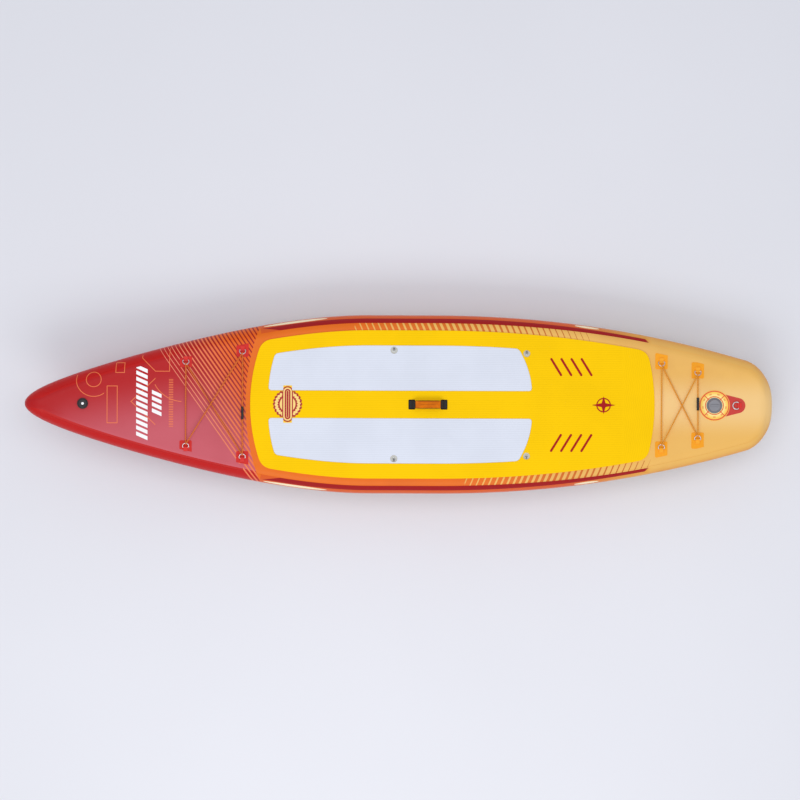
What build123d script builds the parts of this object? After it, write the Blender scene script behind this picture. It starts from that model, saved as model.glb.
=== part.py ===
"""Inflatable touring stand up paddleboard, in millimetres.

+X points to the nose, +Y to port and +Z up. The origin is the centre of the flat hull bottom.
"""

from build123d import *
import math
import os

os.makedirs("parts", exist_ok=True)

# ------------------------------------------------------------------ driving dimensions
LENGTH = 3505.0  # 11 ft 6 in, nose to tail
WIDTH = 845.0  # over the rail bands
THICKNESS = 150.0  # chamber, deck face to bottom face
SKIN = 1.2  # coated fabric of deck, bottom and rails
BAND = 1.0  # second rail layer
RAIL_REACH = 72.0  # how far the round rail reaches in from the edge of the chamber
BAND_ANGLE = 62.0  # the rail band covers this many degrees above and below mid-rail
GLUE = 0.05  # glue line between two layers

NOSE_TAPER = 1600.0  # run over which the outline narrows to the nose
NOSE_CURVE = (0.627, 1.019, 0.081, -0.727)  # squared half width against run, as a quartic
TAIL_TAPER = 1600.0
TAIL_HALF_WIDTH = 175.5
TAIL_POWER = 2.1
TAIL_CORNER = 120.0
NOSE_CAP = 100.0
TAIL_CAP = 75.0
NOSE_LIFT, NOSE_LIFT_RUN, NOSE_LIFT_POWER = 165.0, 1500.0, 2.3
TAIL_LIFT, TAIL_LIFT_RUN, TAIL_LIFT_POWER = 30.0, 700.0, 2.0

PAD = 5.0  # foam deck pad
PAD_EDGE = 0.6  # the pad stops this far inside the flat of the deck
INLAY_GAP = 0.4
MARK = 1.0  # raised marks on the pad
PATCH = 1.2
STRIPE_HALF = 65.0
PANEL_INSET = 145.0

# Stations are measured from the nose tip and from the tail end. Between two of them the deck is
# a flat facet, and each fitting stands on one facet.
NOSE_RUNS = [100, 130, 165, 200, 240, 300, 360, 430, 500, 570, 640, 708, 776, 840, 906, 972]
NOSE_RUNS += [1040, 1110, 1190, 1270, 1350, 1430, 1500, 1600]
TAIL_RUNS = [75, 150, 238, 324, 392, 440, 496, 562, 630, 700, 800, 900, 1000, 1100, 1200]
TAIL_RUNS += [1300, 1400, 1500, 1600]
STATIONS = [run - LENGTH / 2 for run in TAIL_RUNS]
STATIONS += [LENGTH / 2 - run for run in reversed(NOSE_RUNS)]


# ------------------------------------------------------------------ the board's curves
def half_width(x):
    """Half of the outline at x, rail bands included."""
    nose_run = LENGTH / 2 - x
    tail_run = LENGTH / 2 + x
    if nose_run < NOSE_TAPER:
        share = max(nose_run, 0.0) / NOSE_TAPER
        squared = sum(factor * share ** (power + 1) for power, factor in enumerate(NOSE_CURVE))
        return WIDTH / 2 * math.sqrt(squared)
    if tail_run < TAIL_TAPER:
        share = (TAIL_TAPER - tail_run) / TAIL_TAPER
        width = WIDTH / 2 - (WIDTH / 2 - TAIL_HALF_WIDTH) * share**TAIL_POWER
        if tail_run < TAIL_CORNER:
            width *= (1 - (1 - max(tail_run, 0.0) / TAIL_CORNER) ** 2) ** 0.4
        return width
    return WIDTH / 2


def rise(x):
    """Rocker: how far the hull's bottom lies above the flat at x."""
    nose = max(0.0, x - LENGTH / 2 + NOSE_LIFT_RUN) / NOSE_LIFT_RUN
    tail = max(0.0, TAIL_LIFT_RUN - LENGTH / 2 - x) / TAIL_LIFT_RUN
    return NOSE_LIFT * nose**NOSE_LIFT_POWER + TAIL_LIFT * tail**TAIL_LIFT_POWER


def half_thickness(x):
    """Half of the chamber's thickness, which closes as an ellipse over both caps."""
    share = min((LENGTH / 2 - x) / NOSE_CAP, (LENGTH / 2 + x) / TAIL_CAP, 1.0)
    return THICKNESS / 2 * math.sqrt(1 - (1 - share) ** 2)


def rail_reach(x):
    """Width of the round rail across Y: wider where the outline runs at a slant."""
    step = 5.0
    slant = (half_width(x + step) - half_width(x - step)) / (2 * step)
    return min(RAIL_REACH * math.hypot(1, slant), half_width(x) - BAND - 3.0)


def flat_half(x):
    """Half width of the flat part of the deck."""
    return half_width(x) - BAND - rail_reach(x)


def facet_at(x):
    """The two stations on either side of x."""
    return next((low, high) for low, high in zip(STATIONS, STATIONS[1:]) if low <= x <= high)


def facet_slope(x):
    low, high = facet_at(x)
    return (rise(high) - rise(low)) / (high - low)


def facet_rise(x):
    low, _ = facet_at(x)
    return rise(low) + facet_slope(x) * (x - low)


def deck_plane(x, y, lift=0.0, inboard=0):
    """Plane on the deck at (x, y). Its X axis points to the nose, or along Y if inboard is 1 or -1."""
    slope = facet_slope(x)
    normal = Vector(-slope, 0, 1).normalized()
    forward = Vector(0, inboard, 0) if inboard else Vector(1, 0, slope)
    return Plane(origin=Vector(x, y, THICKNESS + facet_rise(x)) + normal * lift, x_dir=forward, z_dir=normal)


def bottom_plane(x, y):
    """Plane under the hull at (x, y): X to the nose, Z down."""
    slope = facet_slope(x)
    return Plane(origin=(x, y, facet_rise(x)), x_dir=(1, 0, slope), z_dir=(slope, 0, -1))


def between(low, high):
    """The stations strictly between two positions along the board."""
    return [x for x in STATIONS if low < x < high]


def slab(base, low, high):
    """Slab across the whole board that follows its facets from base + low to base + high."""
    lower = [(x, base + low + rise(x)) for x in STATIONS]
    upper = [(x, base + high + rise(x)) for x in reversed(STATIONS)]
    with BuildPart() as layer:
        with BuildSketch(Plane.XZ):
            with BuildLine():
                Polyline(*lower, *upper, close=True)
            make_face()
        extrude(amount=WIDTH, both=True)
    return layer.part


def flat_outline(inset):
    """Planform of the flat deck, drawn in by inset."""
    port = [(x, flat_half(x) - inset) for x in STATIONS]
    starboard = [(x, -y) for x, y in reversed(port)]
    with BuildSketch() as outline:
        with BuildLine():
            Polyline(*port, *starboard, close=True)
        make_face()
    return outline.sketch


SKETCH_LEVEL = Plane.XY.offset(-60)  # planforms are drawn below the board and extruded through it
THROUGH = 480.0
DECK = THICKNESS

on_deck_patch = slab(DECK, 0, PATCH)
on_deck_pad = slab(DECK, 0, PAD)
on_pad_mark = slab(DECK, PAD, PAD + MARK)
under_hull_patch = slab(0, -PATCH, 0)

# ------------------------------------------------------------------ valve dimensions
VALVE_X = -1472.0
VALVE_TUBE = 21.5
FLANGE_RADIUS = 36.5
LABEL_RADIUS = 72.0
valve_plane = deck_plane(VALVE_X, 0)

# ------------------------------------------------------------------ hull skins
# the deck sheet is laid in lengths that butt together, so that each one keeps to its own part of the rocker
SHEET_CUTS = (-1520.0, -1250.0, 250.0, 650.0, 1050.0, 1400.0, 1560.0)
SHEET_CUT_WIDTH = 0.1
HALF_BEAM = 440.0
deck_layer = slab(DECK, -SKIN, 0)
with BuildPart() as deck_skin:
    with BuildSketch(SKETCH_LEVEL):
        add(flat_outline(0))
    extrude(amount=THROUGH)
    add(deck_layer, mode=Mode.INTERSECT)
    with BuildSketch(valve_plane):
        Circle(VALVE_TUBE + 0.3)
    extrude(amount=10, both=True, mode=Mode.SUBTRACT)
    with Locations(*[(x, 0, DECK) for x in SHEET_CUTS]):
        Box(SHEET_CUT_WIDTH, 2 * HALF_BEAM, THROUGH, mode=Mode.SUBTRACT)
deck_skin.part.label = "deck_skin"
export_step(deck_skin.part, "parts/deck_skin.step")

bottom_layer = slab(0, 0, SKIN)
with BuildPart() as bottom_skin:
    with BuildSketch(SKETCH_LEVEL):
        add(flat_outline(0))
    extrude(amount=THROUGH)
    add(bottom_layer, mode=Mode.INTERSECT)
bottom_skin.part.label = "bottom_skin"
export_step(bottom_skin.part, "parts/bottom_skin.step")


def section_plane(x):
    """Plane across the board at x, centred on the middle of the chamber: X to port, Y up."""
    return Plane(origin=(x, 0, rise(x) + THICKNESS / 2), x_dir=(0, 1, 0), z_dir=(1, 0, 0))


def half_ring(centre, inner, outer, angle):
    """Face between two elliptical arcs that open from -angle to +angle about the rail's middle."""
    turn, sweep_back = 2 * angle, -angle
    with BuildSketch(mode=Mode.PRIVATE) as face:
        with BuildLine():
            near = EllipticalCenterArc((centre, 0), *inner, start_angle=sweep_back, arc_size=turn)
            far = EllipticalCenterArc((centre, 0), *outer, start_angle=sweep_back, arc_size=turn)
            Line(near @ 0, far @ 0)
            Line(near @ 1, far @ 1)
        make_face()
    return face.sketch


def rail_face(x):
    reach, height = rail_reach(x), THICKNESS / 2
    return half_ring(flat_half(x), (reach - SKIN, height - SKIN), (reach, height), 90)


def band_face(x):
    near = (rail_reach(x) + GLUE, THICKNESS / 2 + GLUE)
    far = (rail_reach(x) + BAND, THICKNESS / 2 + BAND)
    return half_ring(flat_half(x), near, far, BAND_ANGLE)


rail_faces = [rail_face(x) for x in STATIONS]
with BuildPart() as port_rail:
    for x, face in zip(STATIONS, rail_faces):
        with BuildSketch(section_plane(x)):
            add(face)
    loft(ruled=True)
port_rail.part.label = "port_rail"
export_step(port_rail.part, "parts/port_rail.step")

with BuildPart() as starboard_rail:
    add(port_rail.part)
    mirror(about=Plane.XZ, mode=Mode.REPLACE)
starboard_rail.part.label = "starboard_rail"
export_step(starboard_rail.part, "parts/starboard_rail.step")

band_faces = [band_face(x) for x in STATIONS]
with BuildPart() as port_rail_band:
    for x, face in zip(STATIONS, band_faces):
        with BuildSketch(section_plane(x)):
            add(face)
    loft(ruled=True)
port_rail_band.part.label = "port_rail_band"
export_step(port_rail_band.part, "parts/port_rail_band.step")

with BuildPart() as starboard_rail_band:
    add(port_rail_band.part)
    mirror(about=Plane.XZ, mode=Mode.REPLACE)
starboard_rail_band.part.label = "starboard_rail_band"
export_step(starboard_rail_band.part, "parts/starboard_rail_band.step")


# ------------------------------------------------------------------ nose and tail caps
def cap_face(x, inset_side, inset_top):
    """Whole cross-section of a cap: flat top and bottom, with an elliptical arc at each side."""
    edge = flat_half(x)
    reach, height = rail_reach(x) + BAND - inset_side, half_thickness(x) - inset_top
    with BuildSketch(mode=Mode.PRIVATE) as face:
        with BuildLine():
            Line((edge, -height), (-edge, -height))
            EllipticalCenterArc((edge, 0), reach, height, start_angle=-90, arc_size=180)
            Line((-edge, height), (edge, height))
            EllipticalCenterArc((-edge, 0), reach, height, start_angle=90, arc_size=180)
        make_face()
    return face.sketch


CAP_WALL = SKIN + BAND
NOSE_CAP_RUNS = [100, 84, 68, 54, 42, 31, 22, 14, 8, 4, 1.2]
TAIL_CAP_RUNS = [75, 62, 50, 39, 30, 22, 15, 9, 5, 1.6]
HOLLOW_MARGIN = 12.0  # the hollow of a cap ends this far from its tip


def cap_sections(joint, direction, runs, length):
    """Outer faces from the joint to the tip, and the faces of the hollow inside them."""
    places = [joint + direction * (length - run) for run in runs]
    outer = [(x, cap_face(x, 0, 0)) for x in places]
    inner_places = [x for x, run in zip(places, runs) if run > HOLLOW_MARGIN]
    inner = [(x, cap_face(x, CAP_WALL, SKIN)) for x in inner_places]
    mouth = [(joint - 3 * direction, cap_face(joint, CAP_WALL, SKIN))]
    return outer, mouth + inner


nose_outer, nose_inner = cap_sections(LENGTH / 2 - NOSE_CAP, 1, NOSE_CAP_RUNS, NOSE_CAP)
with BuildPart() as nose_cap:
    for x, face in nose_outer:
        with BuildSketch(section_plane(x)):
            add(face)
    loft(ruled=True)
    for x, face in nose_inner:
        with BuildSketch(section_plane(x)):
            add(face)
    loft(ruled=True, mode=Mode.SUBTRACT)
nose_cap.part.label = "nose_cap"
export_step(nose_cap.part, "parts/nose_cap.step")

tail_outer, tail_inner = cap_sections(TAIL_CAP - LENGTH / 2, -1, TAIL_CAP_RUNS, TAIL_CAP)
with BuildPart() as tail_cap:
    for x, face in tail_outer:
        with BuildSketch(section_plane(x)):
            add(face)
    loft(ruled=True)
    for x, face in tail_inner:
        with BuildSketch(section_plane(x)):
            add(face)
    loft(ruled=True, mode=Mode.SUBTRACT)
tail_cap.part.label = "tail_cap"
export_step(tail_cap.part, "parts/tail_cap.step")

# ------------------------------------------------------------------ drop-stitch yarns
YARN_RADIUS = 0.8
YARN_END_GAP = 0.3
YARN_PITCH_X, YARN_PITCH_Y = 125.0, 110.0
YARN_CLEAR = 50.0  # no yarn this close to the valve
yarn_spots = [
    (col * YARN_PITCH_X, row * YARN_PITCH_Y)
    for col in range(-13, 13)
    for row in range(-3, 4)
    if abs(row * YARN_PITCH_Y) < flat_half(col * YARN_PITCH_X) - 15
    and math.hypot(col * YARN_PITCH_X - VALVE_X, row * YARN_PITCH_Y) > YARN_CLEAR
]
with BuildPart() as drop_stitch_yarns:
    for x, y in yarn_spots:
        with BuildSketch(Plane(origin=(x, y, facet_rise(x) + SKIN + YARN_END_GAP))):
            Circle(YARN_RADIUS)
        extrude(amount=THICKNESS - 2 * (SKIN + YARN_END_GAP))
drop_stitch_yarns.part.label = "drop_stitch_yarns"
export_step(drop_stitch_yarns.part, "parts/drop_stitch_yarns.step")

# ------------------------------------------------------------------ deck pad and its inlays
PAD_FRONT, PAD_FRONT_CORNER = 710.0, 655.0
PAD_REAR, PAD_REAR_CORNER = -1192.0, -1157.0
PAD_CORNER_RADIUS = 42.0
PANEL_FRONT_INNER, PANEL_FRONT_OUTER = 624.0, 593.0
PANEL_REAR_INNER, PANEL_REAR_OUTER = -615.0, -552.0
PANEL_REAR_BOW = 14.0
PANEL_CORNER_RADIUS = 16.0
HANDLE_X = -126.0
ANCHOR_LENGTH, ANCHOR_WIDTH, ANCHOR_HEIGHT = 30.0, 45.0, 6.0
GRIP_LENGTH, GRIP_WIDTH, GRIP_HEIGHT = 122.0, 38.0, 13.0
ANCHOR_OFFSET = (GRIP_LENGTH + ANCHOR_LENGTH) / 2
SEAT_SPOTS = [(34.0, 255.0), (34.0, -255.0), (-590.0, 241.0), (-590.0, -241.0)]
SEAT_HOLE = 16.5


def pad_outline():
    """Outline of the deck pad: its sides follow the rails, its front and rear edges are bowed."""
    room = 1.5 * PAD_CORNER_RADIUS
    stretch = between(PAD_REAR_CORNER + room, PAD_FRONT_CORNER - room)
    side = [PAD_REAR_CORNER] + stretch + [PAD_FRONT_CORNER]
    port = [(x, flat_half(x) - PAD_EDGE) for x in side]
    starboard = [(x, -y) for x, y in reversed(port)]
    with BuildSketch() as outline:
        with BuildLine():
            Polyline(*port)
            ThreePointArc(port[-1], (PAD_FRONT, 0), starboard[0])
            Polyline(*starboard)
            ThreePointArc(starboard[-1], (PAD_REAR, 0), port[0])
        make_face()
        ends = [v for v in outline.vertices() if v.X < PAD_REAR_CORNER + 1 or v.X > PAD_FRONT_CORNER - 1]
        fillet(ends, PAD_CORNER_RADIUS)
    return outline.sketch


def panel_outline(grow):
    """Port pad panel, drawn larger by grow for the window that it lies in."""
    inner = STRIPE_HALF - grow
    front_inner, front_outer = PANEL_FRONT_INNER + grow, PANEL_FRONT_OUTER + grow
    rear_inner, rear_outer = PANEL_REAR_INNER - grow, PANEL_REAR_OUTER - grow
    side = [front_outer] + list(reversed(between(rear_outer, front_outer))) + [rear_outer]
    outer = [(x, half_width(x) - PANEL_INSET + grow) for x in side]
    front_middle = ((front_inner + front_outer) / 2 + 6, (inner + outer[0][1]) / 2)
    rear_middle = ((rear_inner + rear_outer) / 2 - PANEL_REAR_BOW, (inner + outer[-1][1]) / 2)
    with BuildSketch() as outline:
        with BuildLine():
            Line((rear_inner, inner), (front_inner, inner))
            ThreePointArc((front_inner, inner), front_middle, outer[0])
            Polyline(*outer)
            ThreePointArc(outer[-1], rear_middle, (rear_inner, inner))
        make_face()
        ends = [v for v in outline.vertices() if v.X > front_outer - 1 or v.X < rear_outer + 1]
        fillet(ends, PANEL_CORNER_RADIUS + grow)
    return outline.sketch


pad_shape = pad_outline()
window_shape = panel_outline(INLAY_GAP)
with BuildPart() as deck_pad:
    with BuildSketch(SKETCH_LEVEL):
        add(pad_shape)
        add(window_shape, mode=Mode.SUBTRACT)
        add(mirror(window_shape, about=Plane.XZ, mode=Mode.PRIVATE), mode=Mode.SUBTRACT)
        with Locations(*SEAT_SPOTS):
            Circle(SEAT_HOLE, mode=Mode.SUBTRACT)
        with Locations((HANDLE_X - ANCHOR_OFFSET, 0), (HANDLE_X + ANCHOR_OFFSET, 0)):
            Rectangle(ANCHOR_LENGTH + 1, ANCHOR_WIDTH + 1, mode=Mode.SUBTRACT)
    extrude(amount=THROUGH)
    add(on_deck_pad, mode=Mode.INTERSECT)
deck_pad.part.label = "deck_pad"
export_step(deck_pad.part, "parts/deck_pad.step")

panel_shape = panel_outline(0)
with BuildPart() as port_pad_panel:
    with BuildSketch(SKETCH_LEVEL):
        add(panel_shape)
        with Locations(SEAT_SPOTS[0], SEAT_SPOTS[2]):
            Circle(SEAT_HOLE, mode=Mode.SUBTRACT)
    extrude(amount=THROUGH)
    add(on_deck_pad, mode=Mode.INTERSECT)
port_pad_panel.part.label = "port_pad_panel"
export_step(port_pad_panel.part, "parts/port_pad_panel.step")

with BuildPart() as starboard_pad_panel:
    add(port_pad_panel.part)
    mirror(about=Plane.XZ, mode=Mode.REPLACE)
starboard_pad_panel.part.label = "starboard_pad_panel"
export_step(starboard_pad_panel.part, "parts/starboard_pad_panel.step")

ROUNDEL_X, ROUNDEL_RADIUS = 534.0, 63.0
SCALLOPS, SCALLOP_RADIUS = 24, 8.0
ROUNDEL_BAR = (40.0, 175.0)
with BuildPart() as pad_roundel:
    with BuildSketch(Plane(origin=(ROUNDEL_X, 0, SKETCH_LEVEL.origin.Z))):
        Circle(ROUNDEL_RADIUS)
        with PolarLocations(ROUNDEL_RADIUS - 2, SCALLOPS):
            Circle(SCALLOP_RADIUS)
        Rectangle(*ROUNDEL_BAR)
    extrude(amount=THROUGH)
    add(on_pad_mark, mode=Mode.INTERSECT)
pad_roundel.part.label = "pad_roundel"
export_step(pad_roundel.part, "parts/pad_roundel.step")

BAR_PITCH, BAR_WIDTH = 47.6, 10.0
BAR_INNER, BAR_OUTER = (-754.0, 137.0), (-703.0, 220.0)
bar_run = math.dist(BAR_INNER, BAR_OUTER)
bar_slant = math.degrees(math.atan2(BAR_OUTER[1] - BAR_INNER[1], BAR_OUTER[0] - BAR_INNER[0]))
with BuildPart() as grip_bars:
    with BuildSketch(SKETCH_LEVEL):
        for index in range(4):
            middle_x = (BAR_INNER[0] + BAR_OUTER[0]) / 2 - BAR_PITCH * index
            middle_y = (BAR_INNER[1] + BAR_OUTER[1]) / 2
            for side in (1, -1):
                with Locations((middle_x, side * middle_y)):
                    SlotCenterToCenter(bar_run - BAR_WIDTH, BAR_WIDTH, rotation=side * bar_slant)
    extrude(amount=THROUGH)
    add(on_pad_mark, mode=Mode.INTERSECT)
grip_bars.part.label = "grip_bars"
export_step(grip_bars.part, "parts/grip_bars.step")

ICON_X = -952.0
ICON_RING, ICON_RING_WIDTH = 34.0, 5.0
ICON_LONG, ICON_SHORT, ICON_WAIST = 55.0, 41.5, 9.0
star_points = [(ICON_LONG, 0), (ICON_WAIST, ICON_WAIST), (0, ICON_SHORT), (-ICON_WAIST, ICON_WAIST)]
star_points += [(-x, -y) for x, y in star_points]
with BuildPart() as pad_icon:
    with BuildSketch(Plane(origin=(ICON_X, 0, SKETCH_LEVEL.origin.Z))):
        Circle(ICON_RING)
        Circle(ICON_RING - ICON_RING_WIDTH, mode=Mode.SUBTRACT)
        with BuildLine():
            Polyline(*star_points, close=True)
        make_face()
    extrude(amount=THROUGH)
    add(on_pad_mark, mode=Mode.INTERSECT)
pad_icon.part.label = "pad_icon"
export_step(pad_icon.part, "parts/pad_icon.step")

# ------------------------------------------------------------------ carry handle
FINGER_GAP = 12.0  # pad top to the underside of the grip
WEB_WIDTH, WEB_THICK = 34.0, 3.0
GRIP_BASE = DECK + PAD + FINGER_GAP
GRIP_MIDDLE = GRIP_BASE + GRIP_HEIGHT / 2
END_GAP = 0.3

with BuildPart() as handle_anchors:
    with BuildSketch(Plane.XY.offset(DECK)):
        with Locations((HANDLE_X - ANCHOR_OFFSET, 0), (HANDLE_X + ANCHOR_OFFSET, 0)):
            RectangleRounded(ANCHOR_LENGTH, ANCHOR_WIDTH, 4)
    extrude(amount=ANCHOR_HEIGHT)
    fillet(handle_anchors.faces().sort_by(Axis.Z)[-2:].edges(), 1.5)
handle_anchors.part.label = "handle_anchors"
export_step(handle_anchors.part, "parts/handle_anchors.step")

web_foot = DECK + ANCHOR_HEIGHT
web_heel = GRIP_LENGTH / 2 + ANCHOR_LENGTH - 3
web_knee = GRIP_LENGTH / 2 + 17
web_tip = GRIP_LENGTH / 2 + END_GAP
web_profile = [
    (web_heel, web_foot),
    (web_heel, web_foot + WEB_THICK),
    (web_knee, web_foot + WEB_THICK),
    (web_tip, GRIP_MIDDLE + WEB_THICK / 2),
    (web_tip, GRIP_MIDDLE - WEB_THICK / 2),
    (web_knee - 2, web_foot),
]
with BuildPart() as handle_web_front:
    with BuildSketch(Plane(origin=(HANDLE_X, 0, 0), x_dir=(1, 0, 0), z_dir=(0, -1, 0))):
        with BuildLine():
            Polyline(*web_profile, close=True)
        make_face()
    extrude(amount=WEB_WIDTH / 2, both=True)
handle_web_front.part.label = "handle_web_front"
export_step(handle_web_front.part, "parts/handle_web_front.step")

with BuildPart() as handle_web_rear:
    add(handle_web_front.part)
    mirror(about=Plane.YZ.offset(HANDLE_X), mode=Mode.REPLACE)
handle_web_rear.part.label = "handle_web_rear"
export_step(handle_web_rear.part, "parts/handle_web_rear.step")

with BuildPart() as handle_grip:
    with BuildSketch(Plane(origin=(HANDLE_X, 0, GRIP_BASE))):
        Rectangle(GRIP_LENGTH, GRIP_WIDTH)
    extrude(amount=GRIP_HEIGHT)
    fillet(handle_grip.edges().filter_by(Axis.X), 5)
    with BuildSketch(Plane(origin=(HANDLE_X, 0, GRIP_MIDDLE), x_dir=(0, 1, 0), z_dir=(1, 0, 0))):
        Rectangle(WEB_WIDTH, WEB_THICK)
    extrude(amount=GRIP_LENGTH, both=True, mode=Mode.SUBTRACT)
handle_grip.part.label = "handle_grip"
export_step(handle_grip.part, "parts/handle_grip.step")

with BuildPart() as handle_core:
    with Locations((HANDLE_X, 0, GRIP_MIDDLE)):
        Box(GRIP_LENGTH, WEB_WIDTH - 0.4, WEB_THICK - 0.4)
handle_core.part.label = "handle_core"
export_step(handle_core.part, "parts/handle_core.step")


# ------------------------------------------------------------------ D-rings and their straps
def tilted(frame, angle):
    """The frame turned about its own Y axis, so that its X axis rises by angle."""
    turn = math.radians(angle)
    forward = frame.x_dir * math.cos(turn) + frame.z_dir * math.sin(turn)
    normal = frame.z_dir * math.cos(turn) - frame.x_dir * math.sin(turn)
    return Plane(origin=frame.origin, x_dir=forward, z_dir=normal)


def d_ring(frame, half_span, leg, wire):
    """Welded D-ring in the frame's XY plane: the bar lies on its Y axis, the bow points along +X."""
    corner = 2 * wire
    with BuildPart(mode=Mode.PRIVATE) as ring:
        with BuildLine(frame) as path:
            Line((0, corner - half_span), (0, half_span - corner))
            CenterArc((corner, half_span - corner), corner, 180, -90)
            Line((corner, half_span), (leg, half_span))
            CenterArc((leg, 0), half_span, 90, -180)
            Line((leg, -half_span), (corner, -half_span))
            CenterArc((corner, corner - half_span), corner, -90, -90)
        start = frame.from_local_coords((0, corner - half_span, 0))
        with BuildSketch(Plane(origin=start, x_dir=frame.x_dir, z_dir=frame.y_dir)):
            Circle(wire)
        sweep(path=path.wire())
    return ring.part


def ring_strap(frame, width, wire, foot, tail):
    """Strap over a ring's bar: a round hump about the bar and a flat tail behind it.

    The frame's origin is the bar's centre, and foot is the height of the bar above the patch.
    """
    hump = wire + 2.0
    profile_plane = Plane(origin=frame.origin, x_dir=frame.x_dir, z_dir=-frame.y_dir)
    with BuildPart(mode=Mode.PRIVATE) as strap:
        with BuildSketch(profile_plane):
            Circle(hump)
            with Locations((-tail / 2, -foot / 2)):
                Rectangle(tail, foot)
            with Locations((hump / 2, -foot / 2)):
                Rectangle(hump, foot)
            with Locations((0, -foot - hump)):
                Rectangle(4 * tail, 2 * hump, mode=Mode.SUBTRACT)
            Circle(wire + 0.3, mode=Mode.SUBTRACT)
        extrude(amount=width / 2, both=True)
    return strap.part


RING_WIRE, RING_HALF_SPAN, RING_LEG = 2.0, 14.5, 6.0
RING_TILT = 20.0  # the cord holds the bow of each ring off the deck
RING_BAR_HEIGHT = PATCH + 4.4
STRAP_WIDTH, STRAP_TAIL = 20.0, 18.0
RING_PATCH_SHIFT = 4.0  # patch centre outboard of the bar


def tie_down_frames(stations):
    """Bar frames of four rings, starboard first: X inboard, Z off the deck."""
    return [
        deck_plane(x, side * reach, RING_BAR_HEIGHT, inboard=-side)
        for x, reach in stations
        for side in (-1, 1)
    ]


BOW_STATIONS = [(1010.0, 204.0), (746.0, 254.0)]  # fore pair, aft pair: x and reach of the bars
STERN_STATIONS = [(-1224.0, 204.0), (-1394.0, 161.0)]
BOW_PATCH, STERN_PATCH = (57.0, 73.0), (58.0, 76.0)
PATCH_RADIUS = 7.0


def patch_corners(stations):
    return [(x, side * (reach + RING_PATCH_SHIFT)) for x, reach in stations for side in (-1, 1)]


patch_zone = flat_outline(0.5)
with BuildPart() as bow_ring_patches:
    with BuildSketch(SKETCH_LEVEL):
        with Locations(*patch_corners(BOW_STATIONS)):
            RectangleRounded(*BOW_PATCH, PATCH_RADIUS)
        add(patch_zone, mode=Mode.INTERSECT)
    extrude(amount=THROUGH)
    add(on_deck_patch, mode=Mode.INTERSECT)
bow_ring_patches.part.label = "bow_ring_patches"
export_step(bow_ring_patches.part, "parts/bow_ring_patches.step")

with BuildPart() as stern_ring_patches:
    with BuildSketch(SKETCH_LEVEL):
        with Locations(*patch_corners(STERN_STATIONS)):
            RectangleRounded(*STERN_PATCH, PATCH_RADIUS)
        add(patch_zone, mode=Mode.INTERSECT)
    extrude(amount=THROUGH)
    add(on_deck_patch, mode=Mode.INTERSECT)
stern_ring_patches.part.label = "stern_ring_patches"
export_step(stern_ring_patches.part, "parts/stern_ring_patches.step")

STRAP_FOOT = RING_BAR_HEIGHT - PATCH - GLUE
for end_name, end_stations in (("bow", BOW_STATIONS), ("stern", STERN_STATIONS)):
    frames = tie_down_frames(end_stations)
    straps = [ring_strap(frame, STRAP_WIDTH, RING_WIRE, STRAP_FOOT, STRAP_TAIL) for frame in frames]
    with BuildPart() as ring_straps:
        add(straps)
    ring_straps.part.label = f"{end_name}_ring_straps"
    export_step(ring_straps.part, f"parts/{end_name}_ring_straps.step")

    rings = [d_ring(tilted(frame, RING_TILT), RING_HALF_SPAN, RING_LEG, RING_WIRE) for frame in frames]
    with BuildPart() as tie_down_rings:
        add(rings)
    tie_down_rings.part.label = f"{end_name}_rings"
    export_step(tie_down_rings.part, f"parts/{end_name}_rings.step")

# ------------------------------------------------------------------ bungees
CORD_RADIUS = 3.0
CORD_GAP = 0.2  # between cord and ring wire
TURN_RADIUS = CORD_RADIUS + RING_WIRE + CORD_GAP
TURN_FILLET = TURN_RADIUS - 0.1
JOINER_LENGTH, JOINER_RADIUS = 60.0, 6.0
CORD_END_GAP = 1.0  # between the two cord ends inside the joiner
BOW_JOINER_Y, STERN_JOINER_Y = 42.0, -7.0


def cord_turn(frame):
    """Where the cord goes round a ring's bow: the upper and the lower corner of the turn."""
    bow = tilted(frame, RING_TILT).from_local_coords((RING_LEG + RING_HALF_SPAN, 0, 0))
    outboard = bow - frame.x_dir * TURN_RADIUS
    return outboard + frame.z_dir * TURN_RADIUS, outboard - frame.z_dir * TURN_RADIUS


def bungee_route(stations, joiner_y):
    """Closed loop over four rings, as corners, from one cord end to the other in the joiner."""
    fore_starboard, fore_port, aft_starboard, aft_port = map(cord_turn, tie_down_frames(stations))
    aft_run = aft_port[0] - aft_starboard[1]
    share = (joiner_y - aft_starboard[1].Y) / aft_run.Y
    joiner = aft_starboard[1] + aft_run * share
    along = aft_run.normalized()
    corners = [*aft_port, *reversed(fore_starboard), *reversed(fore_port), *aft_starboard]
    return joiner, along, corners


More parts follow.
